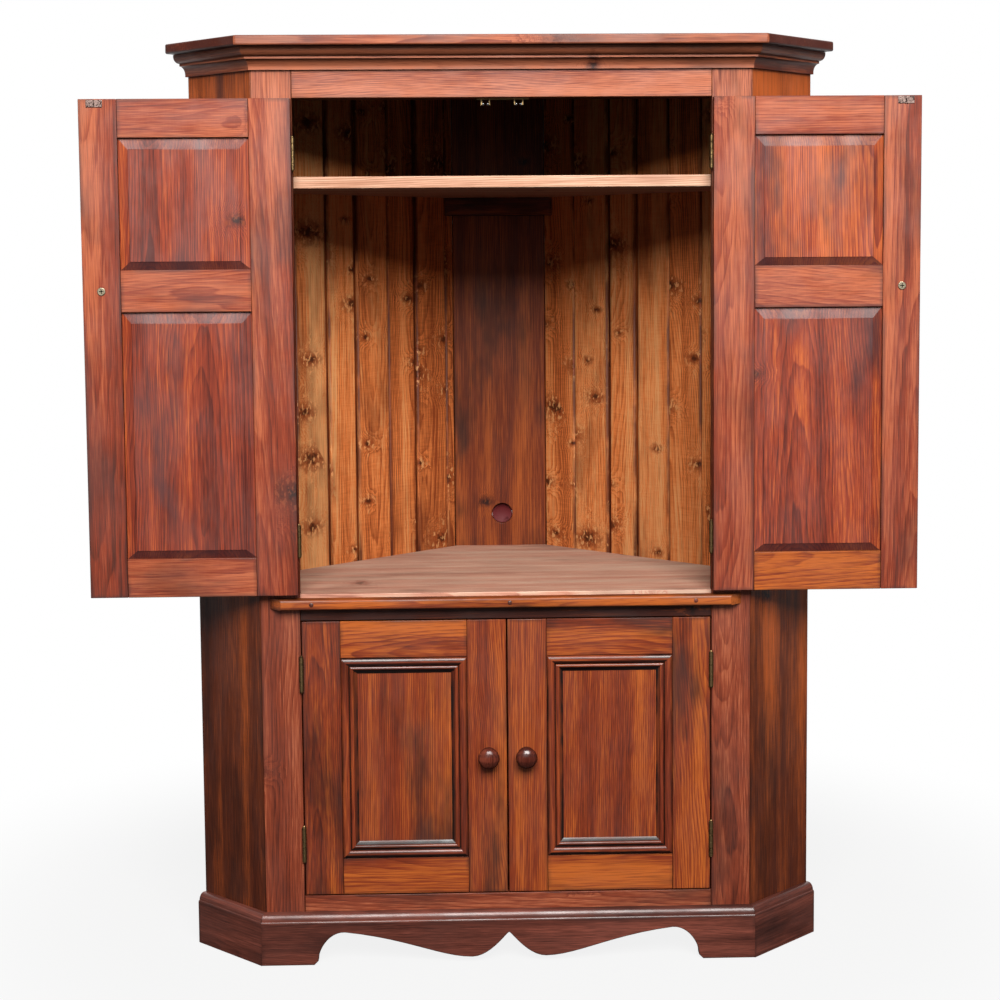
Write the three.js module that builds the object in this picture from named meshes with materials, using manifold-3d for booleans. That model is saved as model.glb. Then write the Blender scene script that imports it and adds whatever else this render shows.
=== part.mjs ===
// Corner armoire in stained pine.
// Two doors open flat beside a television compartment with one shelf, over a closed two-door
// cupboard. The plan is a square corner with its front cut off: a flat front, two canted sides at
// 45 degrees, two back walls of matched boards at right angles to the sides, and one wide board
// across the corner. All lengths are millimetres, +Z is up and the front faces -Y.

import * as THREE from 'three';
import { mergeVertices } from 'three/addons/utils/BufferGeometryUtils.js';
import Module from 'manifold-3d';

const wasm = await Module();
wasm.setup();

// Overall sizes of the case
const overallHeight = 1980;
const frontWidth = 1052;
const stileWidth = 85;
const cantRun = 150;
const cornerBoardWidth = 224;
const frameThickness = 22;
const sideThickness = 22;
const boardThickness = 18;
const boardPitch = 95.5;
const leftStripWidth = 24;
const grooveWidth = 7;
const grooveDepth = 3.5;

// Heights of the openings and of what lies between them
const headDepth = 124;
const deckTop = 807.5;
const deckThickness = 20;
const midRailHeight = 37.2;
const cupboardBottom = 147;
const bottomRailHeight = 62;
const topRailDepth = 60;
const floorThickness = 18;

// Shelf and the battens that carry it
const shelfDrop = 162;
const shelfThickness = 25;
const shelfSetback = 30;
const battenThickness = 20;
const battenHeight = 44;
const sideBattenLength = 140;

// Top board and cornice
const topThickness = 21;
const topOverhang = 60;
const topEdgeRadius = 4;
const corniceHeight = 45;
const corniceProjection = 38;
const corniceFilletProjection = 22;
const corniceFootProjection = 7;
const corniceFootHeight = 4;
const corniceFilletHeight = 5;

// Plinth
const plinthHeight = 112.5;
const plinthThickness = 21;
const plinthMouldHeight = 21;
const plinthMouldSet = 5;
const plinthQuirk = 3;
const plinthBeadHeight = 5;
const footWidth = 113;
const archHeight = 71;
const archReach = 67;
const archFall = 16;
const lobeReach = 80;
const lobeHeight = 12.5;
const notchHeight = 66;
const notchHalfWidth = 5;
const toeHeight = 9;

// Nosing on the front edge of the deck
const nosingHeight = 22.5;
const nosingProjection = 25;
const nosingDrop = 8;
const nosingSetback = 21;
const nosingRadius = 6;

// Cable hole in the corner board and the cap pushed into it from behind
const cableHoleRadius = 25;
const cableHoleOffset = 4;
const cableHoleHeight = 80;
const cableCapThickness = 8;

// Doors
const doorThickness = 22;
const hingeGap = 2;
const centreGap = 3;
const doorTopGap = 2.5;
const cupboardDoorGap = 2.3;
const upperHingeStile = 87;
const upperMeetingStile = 79;
const upperTopRail = 80;
const upperBottomRail = 82;
const upperLockRail = 88;
const lockRailShare = 0.577;
const lowerHingeStile = 82;
const lowerMeetingStile = 84;
const lowerTopRail = 80;
const lowerBottomRail = 80;

// Door panels: flat outside, fielded inside, held in a groove
const panelRecess = 8;
const panelTongue = 6;
const panelFieldRise = 6;
const panelBevel = 20;
const grooveReach = 9;
const panelPlay = 1;

// Moulding planted round each panel on the outside
const mouldWidth = 35;
const mouldProud = 6;
const mouldBead = 10;
const mouldQuirk = 3;
const mouldInnerRise = 3;
const ogeeShares = [0.25, 0.5, 0.75];

// Knobs, each with the screw that comes through the door from the inside
const knobRadius = 23;
const knobLength = 38;
const knobBaseRadius = 19;
const knobNeckRadius = 11;
const knobBaseLength = 6;
const knobInset = 39;
const knobScrewRadius = 2.5;
const knobScrewHeadRadius = 8.5;
const knobScrewHeadHeight = 2.5;
const lowerKnobShare = 0.503;

// Butt hinges
const pinOffset = 5;
const pinRadius = 2.2;
const pinClearance = 0.4;
const leafThickness = 2;
const leafDepth = 18;
const upperHingeLength = 68;
const lowerHingeLength = 76;
const hingeInset = 113;
const knuckleGap = 0.4;
const pinTipRadius = 3;

// Twin ball catch under the top rail and the strike on each upper door
const catchSpacing = 70;
const catchPlateLength = 114;
const catchPlateDepth = 18;
const catchPlateThickness = 2.5;
const ballRadius = 3.75;
const catchDrop = 12;
const cheekThickness = 2;
const strikeWidth = 34;
const strikeHeight = 15;
const strikeThickness = 1.5;
const tongueThickness = 2;
const tongueHeight = 8;
const tongueLength = 9;
const tonguePlay = 0.4;

// Fits: the gap between touching pieces, and how far a cutter runs past what it cuts
const fit = 0.3;
const overrun = 5;

// Facets on the round pieces
const roundSides = 12;
const turnedSides = 20;
const arcSteps = 4;

// Finishes
const paint = (color, roughness, metalness = 0) => (
  new THREE.MeshStandardMaterial({ color, roughness, metalness })
);
const finishes = {
  stain: paint(0xa5502f, 0.3),
  inside: paint(0xbe6e37, 0.45),
  dark: paint(0x5a2823, 0.25),
  brass: paint(0x9a7b45, 0.35, 1),
  steel: paint(0xc9c9cc, 0.2, 1),
  crimson: paint(0x5a1a1c, 0.5),
};

// Solids from geometry, and meshes from solids

function solid(geometry) {
  const plain = geometry.clone();
  plain.deleteAttribute('normal');
  plain.deleteAttribute('uv');
  const merged = mergeVertices(plain);
  return new wasm.Manifold(new wasm.Mesh({
    numProp: 3,
    vertProperties: new Float32Array(merged.attributes.position.array),
    triVerts: new Uint32Array(merged.index.array),
  }));
}

function mesh(name, body, finish) {
  const shape = body.getMesh();
  const geometry = new THREE.BufferGeometry();
  geometry.setAttribute('position', new THREE.BufferAttribute(shape.vertProperties, 3));
  geometry.setIndex(new THREE.BufferAttribute(shape.triVerts, 1));
  geometry.computeVertexNormals();
  const piece = new THREE.Mesh(geometry, finishes[finish]);
  piece.name = name;
  return piece;
}

function join(bodies) {
  return bodies.reduce((whole, body) => whole.add(body));
}

function block(low, high) {
  const size = high.map((value, axis) => value - low[axis]);
  const geometry = new THREE.BoxGeometry(...size);
  geometry.translate(...low.map((value, axis) => value + size[axis] / 2));
  return solid(geometry);
}

function shapeOf(points) {
  return new THREE.Shape(points.map(([x, y]) => new THREE.Vector2(x, y)));
}

// A plate: a plan outline raised from one height to another
function plate(points, low, high) {
  const geometry = new THREE.ExtrudeGeometry(shapeOf(points), {
    depth: high - low,
    bevelEnabled: false,
  });
  geometry.translate(0, 0, low);
  return solid(geometry);
}

// A slab: an outline seen from the front, with its thickness from one depth to another
function slab(shape, near, far) {
  const geometry = new THREE.ExtrudeGeometry(shape, { depth: far - near, bevelEnabled: false });
  geometry.rotateX(Math.PI / 2);
  geometry.translate(0, far, 0);
  return solid(geometry);
}

// A run of moulding: a profile of (distance out, height) points, along a line on the plan
function moulding(profile, start, outward, length) {
  const geometry = new THREE.ExtrudeGeometry(shapeOf(profile), {
    depth: 2 * length,
    bevelEnabled: false,
  });
  geometry.translate(0, 0, -length);
  const out = new THREE.Vector3(...outward, 0);
  const up = new THREE.Vector3(0, 0, 1);
  const place = new THREE.Matrix4().makeBasis(out, up, out.clone().cross(up));
  place.setPosition(...start, 0);
  geometry.applyMatrix4(place);
  return solid(geometry);
}

// A turned body about Y, whose profile is a list of (radius, level) points
function turned(profile, sides) {
  const points = profile.map(([radius, level]) => new THREE.Vector2(radius, level));
  return solid(new THREE.LatheGeometry(points, sides));
}

// A rectangular body with mitred corners, whose profile is a list of (inset, level) points. It is
// turned with four sides, and its corners are then spread to the rectangle's own.
function mitred(profile, width, height) {
  const half = Math.min(width, height) / 2;
  const points = profile.map(([inset, level]) => (
    new THREE.Vector2(Math.max(half - inset, 0) * Math.SQRT2, level)
  ));
  const geometry = new THREE.LatheGeometry(points, 4, Math.PI / 4);
  const place = geometry.attributes.position;
  const tiny = half / 1e4;
  for (let i = 0; i < place.count; i += 1) {
    const x = place.getX(i);
    const z = place.getZ(i);
    if (Math.abs(x) > tiny) {
      place.setX(i, x + Math.sign(x) * (width / 2 - half));
      place.setZ(i, z + Math.sign(z) * (height / 2 - half));
    } else {
      place.setX(i, 0);
      place.setZ(i, 0);
    }
  }
  return solid(geometry);
}

function pin(radius, low, high, sides = roundSides) {
  const geometry = new THREE.CylinderGeometry(radius, radius, high - low, sides);
  geometry.rotateX(Math.PI / 2);
  geometry.translate(0, 0, (low + high) / 2);
  return solid(geometry);
}

// Points on a quarter arc between two angles in degrees
function arc(centre, radius, from, to, steps = arcSteps) {
  return Array.from({ length: steps + 1 }, (_, i) => {
    const angle = THREE.MathUtils.degToRad(from + (to - from) * i / steps);
    return [centre[0] + radius * Math.cos(angle), centre[1] + radius * Math.sin(angle)];
  });
}

// The plan
// A line on the plan is a point and an outward direction. The outline of the case is made of five
// kinds of line: front, canted side, back wall and corner board, each moved in by a thickness.

const slope = Math.SQRT1_2;
const halfFront = frontWidth / 2;
const halfOpening = halfFront - stileWidth;
const wallReach = halfFront + 2 * cantRun;
const cornerInside = wallReach - boardThickness / slope - cornerBoardWidth / 2;

function frontLine(inset) {
  return { normal: [0, -1], reach: -inset };
}

function sideLine(inset) {
  return { normal: [slope, -slope], reach: halfFront * slope - inset };
}

function wallLine(inset) {
  return { normal: [slope, slope], reach: wallReach * slope - inset };
}

function cornerLine(inset) {
  return { normal: [0, 1], reach: cornerInside + boardThickness - inset };
}

function across(x) {
  return { normal: [1, 0], reach: x };
}

function meet(one, other) {
  const [a, b] = one.normal;
  const [c, d] = other.normal;
  const scale = a * d - b * c;
  return [(one.reach * d - other.reach * b) / scale, (a * other.reach - c * one.reach) / scale];
}

function flip(points, side) {
  return points.map(([x, y]) => [side * x, y]);
}

// A full outline from its right half, listed from the front centre to the back centre
function bothSides(points) {
  return [...points, ...flip(points, -1).reverse()];
}

// An outline that fills the case inside, behind a given depth
function insideOutline(front) {
  return [
    meet(frontLine(front), sideLine(sideThickness + fit)),
    meet(sideLine(sideThickness + fit), wallLine(boardThickness + fit)),
    meet(wallLine(boardThickness + fit), cornerLine(boardThickness + fit)),
  ];
}

const caseTop = overallHeight - topThickness - fit;
const compartmentTop = overallHeight - headDepth;
const deckUnderside = deckTop - deckThickness;
const cupboardTop = deckUnderside - fit - midRailHeight;
const shelfTop = compartmentTop - shelfDrop;
const sides = [['left', -1], ['right', 1]];

// Mitres at a corner of the case, from the outside in to the back of the wood
const frontCorner = [halfFront, 0];
const frontCornerInside = meet(frontLine(frameThickness), sideLine(sideThickness));
const sideEnd = meet(sideLine(0), wallLine(0));
const sideEndInside = meet(sideLine(sideThickness), wallLine(0));

// Face frame

function hingeHousing(side, low, length) {
  const out = side * (halfOpening - overrun);
  const deep = side * (halfOpening + leafThickness + fit);
  return block(
    [Math.min(out, deep), -overrun, low - fit],
    [Math.max(out, deep), leafDepth + fit, low + length + fit],
  );
}

const upperDoorBottom = deckTop + doorTopGap;
const upperDoorTop = compartmentTop - doorTopGap;
const lowerDoorBottom = cupboardBottom + cupboardDoorGap;
const lowerDoorTop = cupboardTop - cupboardDoorGap;
const hingeHeights = (low, high, length) => [
  ['top', high - hingeInset - length / 2],
  ['bottom', low + hingeInset - length / 2],
];
const upperHinges = hingeHeights(upperDoorBottom, upperDoorTop, upperHingeLength);
const lowerHinges = hingeHeights(lowerDoorBottom, lowerDoorTop, lowerHingeLength);

function stile(side) {
  const plan = [
    [halfOpening, 0],
    [frontCorner[0] - fit, 0],
    [frontCornerInside[0] - fit, frameThickness],
    [halfOpening, frameThickness],
  ];
  const housings = [
    ...upperHinges.map(([, low]) => hingeHousing(side, low, upperHingeLength)),
    ...lowerHinges.map(([, low]) => hingeHousing(side, low, lowerHingeLength)),
  ];
  return plate(flip(plan, side), 0, caseTop).subtract(join(housings));
}

function rail(low, high, depth) {
  return block([-halfOpening + fit, 0, low], [halfOpening - fit, depth, high]);
}

const frame = [
  ...sides.map(([word, side]) => mesh(`${word}_stile`, stile(side), 'stain')),
  mesh('top_rail', rail(compartmentTop, caseTop, topRailDepth), 'stain'),
  mesh('mid_rail', rail(cupboardTop, deckUnderside - fit, frameThickness), 'stain'),
  mesh(
    'bottom_rail',
    rail(cupboardBottom - bottomRailHeight, cupboardBottom, frameThickness),
    'stain',
  ),
];

// Canted sides and back walls

const sidePlan = [frontCorner, sideEnd, sideEndInside, frontCornerInside];

function backWall(side, firstWidth) {
  const inner = wallLine(boardThickness);
  const start = meet(inner, cornerLine(boardThickness));
  const end = meet(inner, sideLine(sideThickness + fit));
  const length = Math.hypot(end[0] - start[0], end[1] - start[1]);
  const at = (distance, depth) => [
    start[0] + slope * (distance + depth),
    start[1] - slope * (distance - depth),
  ];
  const seams = [];
  for (let seam = firstWidth; seam < length - grooveWidth; seam += boardPitch) {
    seams.push(at(seam - grooveWidth / 2, 0));
    seams.push(at(seam, grooveDepth));
    seams.push(at(seam + grooveWidth / 2, 0));
  }
  const plan = [
    at(fit, 0),
    ...seams,
    end,
    meet(wallLine(0), sideLine(sideThickness + fit)),
    meet(wallLine(0), cornerLine(0)),
  ];
  plan[plan.length - 1][0] += fit;
  return plate(flip(plan, side), 0, caseTop);
}

const cornerInner = meet(wallLine(boardThickness), cornerLine(boardThickness));
const cornerOuter = meet(wallLine(0), cornerLine(0));
const holeHeight = deckTop + cableHoleHeight;

function boredThrough(body, radius, x, z, near, far) {
  const bore = pin(radius, near - overrun, far + overrun, turnedSides);
  return body.subtract(bore.rotate([-90, 0, 0]).translate([x, 0, z]));
}

const cornerPlan = bothSides([
  [cornerInner[0] - fit, cornerInner[1]],
  [cornerOuter[0] - fit, cornerOuter[1]],
]);
const cornerBoard = boredThrough(
  plate(cornerPlan, 0, caseTop),
  cableHoleRadius,
  cableHoleOffset,
  holeHeight,
  cornerInner[1],
  cornerOuter[1],
);
const cableCap = pin(
  cableHoleRadius - fit,
  cornerOuter[1] - cableCapThickness,
  cornerOuter[1],
  turnedSides,
).rotate([-90, 0, 0]).translate([cableHoleOffset, 0, holeHeight]);

const walls = [
  ...sides.map(([word, side]) => (
    mesh(`${word}_side_panel`, plate(flip(sidePlan, side), 0, caseTop), 'stain')
  )),
  mesh('left_back_boards', backWall(-1, leftStripWidth), 'inside'),
  mesh('right_back_boards', backWall(1, boardPitch), 'inside'),
  mesh('corner_back_board', cornerBoard, 'inside'),
  mesh('cable_hole_cap', cableCap, 'crimson'),
];

// Boards laid flat in the case

const deckPlan = bothSides([
  [halfOpening - fit, 0],
  [halfOpening - fit, frameThickness + fit],
  ...insideOutline(frameThickness + fit),
]);
const floorTop = cupboardBottom;
const shelfUnderside = shelfTop - shelfThickness;
const battenTop = shelfUnderside - fit;

function sideBatten(side) {
  const near = sideLine(sideThickness + fit);
  const far = sideLine(sideThickness + fit + battenThickness);
  const rear = wallLine(boardThickness + fit);
  const front = wallLine(boardThickness + fit + sideBattenLength);
  const plan = [meet(near, front), meet(near, rear), meet(far, rear), meet(far, front)];
  return plate(flip(plan, side), battenTop - battenHeight, battenTop);
}

const backBattenPlan = bothSides([
  meet(cornerLine(boardThickness + fit + battenThickness), wallLine(boardThickness + fit)),
  meet(cornerLine(boardThickness + fit), wallLine(boardThickness + fit)),
]);

const boards = [
  mesh('deck_board', plate(deckPlan, deckUnderside, deckTop), 'inside'),
  mesh(
    'upper_shelf',
    plate(bothSides(insideOutline(shelfSetback)), shelfUnderside, shelfTop),
    'inside',
  ),
  mesh(
    'shelf_batten_back',
    plate(backBattenPlan, battenTop - battenHeight, battenTop),
    'inside',
  ),
  ...sides.map(([word, side]) => mesh(`shelf_batten_${word}`, sideBatten(side), 'inside')),
  mesh(
    'cupboard_floor',
    plate(bothSides(insideOutline(frameThickness + fit)), floorTop - floorThickness, floorTop),
    'inside',
  ),
];

// Mouldings that go round the front and the canted sides, mitred at the corners

function frontPlan(projection) {
  return bothSides([
    meet(frontLine(-projection), sideLine(-projection)),
    meet(frontLine(-fit), sideLine(-fit)),
  ]);
}

function returnPlan(side, projection) {
  const mitre = [
    meet(frontLine(-projection), sideLine(-projection)),
    meet(frontLine(-fit), sideLine(-fit)),
  ].map(([x, y]) => [x + fit, y]);
  const ends = [
    meet(sideLine(-fit), wallLine(0)),
    meet(sideLine(-projection), wallLine(0)),
  ];
  return flip([...mitre, ...ends], side);
}

function mitredRun(profile, plan, low, high, start, outward) {
  const length = frontWidth + cantRun;
  return moulding(profile, start, outward, length).intersect(plate(plan, low, high));
}

function wrap(name, profile, projection, low, high, finish, frontCut) {
  const reach = projection + overrun;
  const front = mitredRun(profile, frontPlan(reach), low, high, [0, 0], [0, -1]);
  return [
    mesh(`${name}_front`, frontCut ? front.intersect(frontCut) : front, finish),
    ...sides.map(([word, side]) => {
      const outward = [side * slope, -slope];
      const start = [side * frontCorner[0], 0];
      const run = mitredRun(profile, returnPlan(side, reach), low, high, start, outward);
      return mesh(`${name}_${word}`, run, finish);
    }),
  ];
}

const corniceTop = overallHeight - topThickness - fit;
const corniceBottom = corniceTop - corniceHeight;
const ovoloReach = corniceProjection - corniceFilletProjection;
const coveReach = corniceFilletProjection - corniceFootProjection;
const filletTop = corniceTop - (corniceHeight - corniceFootHeight - corniceFilletHeight) / 2;
const coveTop = filletTop - corniceFilletHeight;
const coveDrop = coveTop - corniceBottom - corniceFootHeight;
const ovoloDrop = corniceTop - filletTop - corniceFootHeight;
const corniceProfile = [
  [0, corniceTop],
  [corniceProjection, corniceTop],
  ...arc([0, 0], 1, 0, -90).map(([x, y]) => [
    corniceProjection - ovoloReach + ovoloReach * x,
    corniceTop - corniceFootHeight + ovoloDrop * y,
  ]),
  [corniceFilletProjection, coveTop],
  ...arc([0, 0], 1, 90, 180).map(([x, y]) => [
    corniceFilletProjection + coveReach * x,
    coveTop - coveDrop + coveDrop * y,
  ]).slice(1),
  [corniceFootProjection, corniceBottom],
  [0, corniceBottom],
];

const plinthProfile = [
  [0, 0],
  [plinthThickness, 0],
  [plinthThickness, plinthHeight - plinthMouldHeight],
  ...arc([0, 0], 1, 0, 90, 2).map(([x, y]) => [
    plinthThickness - plinthQuirk + plinthQuirk * x,
    plinthHeight - plinthMouldHeight + plinthBeadHeight * y,
  ]),
  ...arc([0, 0], 1, 0, 90).map(([x, y]) => [
    plinthMouldSet + (plinthThickness - plinthQuirk - plinthMouldSet) * x,
    plinthHeight - plinthMouldHeight + plinthBeadHeight
      + (plinthMouldHeight - plinthBeadHeight) * y,
  ]).slice(1),
  [0, plinthHeight],
];

// The scalloped lower edge: a foot, an arch, a long fall to a lobe, and a pointed notch between
// the two lobes
const plinthCorner = meet(frontLine(-plinthThickness), sideLine(-plinthThickness))[0];
const footInside = plinthCorner - footWidth;
const archCentre = footInside - archReach;

function apronEdge() {
  const curve = new THREE.Path();
  curve.moveTo(0, notchHeight);
  curve.bezierCurveTo(
    notchHalfWidth, notchHeight,
    lobeReach / 2, lobeHeight,
    lobeReach, lobeHeight,
  );
  curve.bezierCurveTo(
    lobeReach + archReach, lobeHeight,
    archCentre - 2 * archReach, archHeight - archFall,
    archCentre, archHeight,
  );
  curve.bezierCurveTo(
    archCentre + archReach / 2, archHeight + toeHeight / 4,
    footInside - toeHeight, archHeight / 2,
    footInside - toeHeight, toeHeight,
  );
  curve.quadraticCurveTo(footInside - toeHeight / 2, toeHeight / 2, footInside, 0);
  return curve.getPoints(2 * arcSteps).map(({ x, y }) => [x, y]);
}

const apronShape = shapeOf(bothSides([
  ...apronEdge(),
  [plinthCorner + overrun, 0],
  [plinthCorner + overrun, plinthHeight + overrun],
]));
const apronCut = slab(apronShape, -plinthThickness - overrun, overrun);

const nosingTop = deckTop - nosingDrop;
const nosingLow = nosingTop - nosingHeight;
const nosingFaceHalf = halfFront - nosingSetback;
const nosingEase = nosingRadius / 2;
const nosingEaseCentre = [nosingProjection - nosingEase, nosingLow + nosingEase];
const nosingRoundCentre = [nosingProjection - nosingRadius, nosingTop - nosingRadius];
const nosingProfile = [
  [fit, nosingLow],
  ...arc(nosingEaseCentre, nosingEase, -90, 0, 2),
  ...arc(nosingRoundCentre, nosingRadius, 0, 90),
  [fit, nosingTop],
];
const nosingReach = nosingProjection + overrun;
const nosingPlan = bothSides([
  [nosingFaceHalf - nosingReach, -nosingReach],
  [nosingFaceHalf, 0],
]);
const topEdgePlan = (inset) => bothSides([
  meet(frontLine(inset - topOverhang), sideLine(inset - topOverhang)),
  meet(sideLine(inset - topOverhang), wallLine(0)),
  meet(wallLine(0), cornerLine(0)),
]);

const mouldings = [
  mesh('top_board', plate(topEdgePlan(0), overallHeight - topThickness, overallHeight), 'stain'),
  ...wrap('cornice', corniceProfile, corniceProjection, corniceBottom, corniceTop, 'stain'),
  ...wrap('plinth', plinthProfile, plinthThickness, 0, plinthHeight, 'dark', apronCut),
  mesh(
    'deck_nosing',
    mitredRun(nosingProfile, nosingPlan, nosingLow, nosingTop, [0, 0], [0, -1]),
    'stain',
  ),
];

// Hinges
// Each leaf is a plate with its share of five knuckles. The pin belongs to the leaf on the case.
// Here the pin stands on the Z axis, and the plate lies on the given side of it.

const knuckleRadius = pinOffset - fit;

function knuckleBands(low, length, odd) {
  const pitch = length / 5;
  const picked = odd ? [0, 2, 4] : [1, 3];
  return picked.map((i) => [low + i * pitch, low + (i + 1) * pitch - knuckleGap]);
}

function leaf(side, low, length, odd) {
  const near = side * (hingeGap / 2);
  const far = side * (hingeGap / 2 + leafThickness);
  const left = Math.min(near, far);
  const right = Math.max(near, far);
  const rear = pinOffset + leafDepth;
  const bands = knuckleBands(low, length, odd);
  return join([
    block([left, pinOffset + fit, low], [right, rear, low + length]),
    ...bands.map(([from, to]) => block([left, 0, from], [right, pinOffset + 2 * fit, to])),
    ...bands.map(([from, to]) => pin(knuckleRadius, from, to)),
  ]);
}

function caseLeaf(side, low, length) {
  const tip = pinTipRadius;
  const ends = [-1, 1].map((way) => {
    const geometry = new THREE.SphereGeometry(tip, 8, 6);
    geometry.rotateX(Math.PI / 2);
    geometry.translate(0, 0, way < 0 ? low - tip / 2 : low + length + tip / 2);
    return solid(geometry);
  });
  return join([leaf(side, low, length, true), pin(pinRadius, low, low + length), ...ends]);
}

function doorLeaf(side, low, length) {
  const bore = pin(pinRadius + pinClearance, low - overrun, low + length + overrun);
  return leaf(side, low, length, false).subtract(bore);
}

// Doors
// A door is built closed, about its hinge pin: X runs from the pin towards the meeting edge on
// the given side, and its outer face is at the pin's offset. Its group then sets it in place,
// and turns it by half a turn where it rests open.

const doorWidth = halfOpening - hingeGap - centreGap / 2;
const doorEdge = hingeGap / 2;
const knobX = doorEdge + doorWidth - knobInset;
const faceLevel = pinOffset;
const backLevel = pinOffset + doorThickness;
const panelFace = faceLevel + panelRecess;
const panelBack = panelFace + panelTongue;

function rectangle(left, right, low, high) {
  return [[left, low], [right, low], [right, high], [left, high]];
}

// A slab of a door, over a rectangle that is grown by a margin on all its sides
function doorSlab(way, { left, right, bottom, top }, margin, near, far) {
  const edges = [left - margin, right + margin, bottom - margin, top + margin];
  return slab(shapeOf(flip(rectangle(...edges), way)), near, far);
}

function doorHousing(way, low, length) {
  const inner = way * (doorEdge + leafThickness + fit);
  const outer = way * (doorEdge - overrun);
  return block(
    [Math.min(inner, outer), faceLevel - overrun, low - fit],
    [Math.max(inner, outer), pinOffset + leafDepth + fit, low + length + fit],
  );
}

function leafFrame(way, outline, openings, hinges, hingeLength, knobHeight) {
  const cuts = [
    ...openings.map((opening) => (
      doorSlab(way, opening, 0, faceLevel - overrun, backLevel + overrun)
    )),
    ...openings.map((opening) => (
      doorSlab(way, opening, grooveReach, panelFace - fit, panelBack + fit)
    )),
    ...hinges.map(([, low]) => doorHousing(way, low, hingeLength)),
  ];
  const body = doorSlab(way, outline, 0, faceLevel, backLevel).subtract(join(cuts));
  return boredThrough(body, knobScrewRadius + fit, way * knobX, knobHeight, faceLevel, backLevel);
}

function at(body, way, { left, right, bottom, top }, level) {
  return body.translate([way * (left + right) / 2, level, (bottom + top) / 2]);
}

function panel(way, opening) {
  const width = opening.right - opening.left + 2 * (grooveReach - panelPlay);
  const height = opening.top - opening.bottom + 2 * (grooveReach - panelPlay);
  const sight = grooveReach - panelPlay;
  const profile = [
    [Infinity, 0],
    [0, 0],
    [0, panelTongue],
    [sight, panelTongue],
    [sight + panelBevel, panelTongue + panelFieldRise],
    [Infinity, panelTongue + panelFieldRise],
  ];
  return at(mitred(profile, width, height), way, opening, panelFace);
}

// The planted moulding, as (inset, level) points with the door's face at level 0 and its outside
// below. From the frame inwards: a round bead, a quirk, and an ogee that falls to a small bead.
function mouldProfile(edge) {
  const seat = panelRecess - fit;
  const run = mouldWidth - mouldBead - 2 * mouldQuirk;
  const fall = mouldProud / 2 + seat - 2 * mouldInnerRise;
  const ogee = ogeeShares.map((share) => [
    mouldBead + mouldQuirk + run * share,
    -mouldProud / 2 + fall * (1 - Math.cos(Math.PI * share)) / 2,
  ]);
  return [
    [mouldWidth, seat],
    [mouldWidth, seat - mouldInnerRise],
    [mouldWidth - mouldQuirk, seat - 2 * mouldInnerRise],
    ...ogee.reverse(),
    [mouldBead + mouldQuirk, -mouldProud / 2],
    [mouldBead, -mouldProud / 2 + mouldQuirk],
    ...arc([0, 0], 1, 0, 180).map(([x, y]) => [
      mouldBead / 2 + mouldBead / 2 * x,
      -mouldProud / 2 - mouldProud / 2 * y,
    ]).slice(0, -1),
    [edge, -mouldProud / 2],
    [edge, seat],
  ];
}

function mould(way, opening, edge) {
  const width = opening.right - opening.left;
  const height = opening.top - opening.bottom;
  const profile = mouldProfile(edge);
  return at(mitred([...profile, profile[0]], width, height), way, opening, faceLevel);
}

function knob(x, height) {
  const shank = doorThickness + fit;
  const profile = [
    [0, -knobLength],
    [knobRadius / 2, -knobLength + knobBaseLength / 4],
    [knobRadius * slope, -knobLength + knobBaseLength],
    [knobRadius, -knobLength / 2 - knobBaseLength],
    [knobRadius * slope, -knobLength / 2 + knobBaseLength / 2],
    [knobNeckRadius, -knobBaseLength - knobBaseLength / 2],
    [knobNeckRadius, -knobBaseLength],
    [knobBaseRadius, -knobBaseLength / 2],
    [knobBaseRadius, -fit],
    [knobScrewRadius, -fit],
    [knobScrewRadius, shank],
    [knobScrewHeadRadius, shank],
    [knobScrewHeadRadius * slope, shank + knobScrewHeadHeight],
    [0, shank + knobScrewHeadHeight],
  ];
  return turned(profile, turnedSides).translate([x, faceLevel, height]);
}

const catchHeight = compartmentTop - catchDrop;
const strikeInset = (catchSpacing - centreGap) / 2;

function strike(way) {
  const x = way * (doorEdge + doorWidth - strikeInset);
  const base = backLevel + fit;
  return join([
    block(
      [x - strikeWidth / 2, base, catchHeight - strikeHeight / 2],
      [x + strikeWidth / 2, base + strikeThickness, catchHeight + strikeHeight / 2],
    ),
    block(
      [x - tongueThickness / 2, base, catchHeight - tongueHeight / 2],
      [x + tongueThickness / 2, base + tongueLength, catchHeight + tongueHeight / 2],
    ),
  ]);
}

const doorLeft = doorEdge;
const doorRight = doorEdge + doorWidth;
const upperLeft = doorLeft + upperHingeStile;
const upperRight = doorRight - upperMeetingStile;
const lockRailLow = upperDoorBottom + lockRailShare * (upperDoorTop - upperDoorBottom);
const upperOutline = {
  left: doorLeft,
  right: doorRight,
  bottom: upperDoorBottom,
  top: upperDoorTop,
};
const lowerOutline = { ...upperOutline, bottom: lowerDoorBottom, top: lowerDoorTop };
const upperOpenings = [
  {
    left: upperLeft,
    right: upperRight,
    bottom: lockRailLow + upperLockRail,
    top: upperDoorTop - upperTopRail,
  },
  {
    left: upperLeft,
    right: upperRight,
    bottom: upperDoorBottom + upperBottomRail,
    top: lockRailLow,
  },
];
const lowerOpening = {
  left: doorLeft + lowerHingeStile,
  right: doorRight - lowerMeetingStile,
  bottom: lowerDoorBottom + lowerBottomRail,
  top: lowerDoorTop - lowerTopRail,
};

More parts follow.
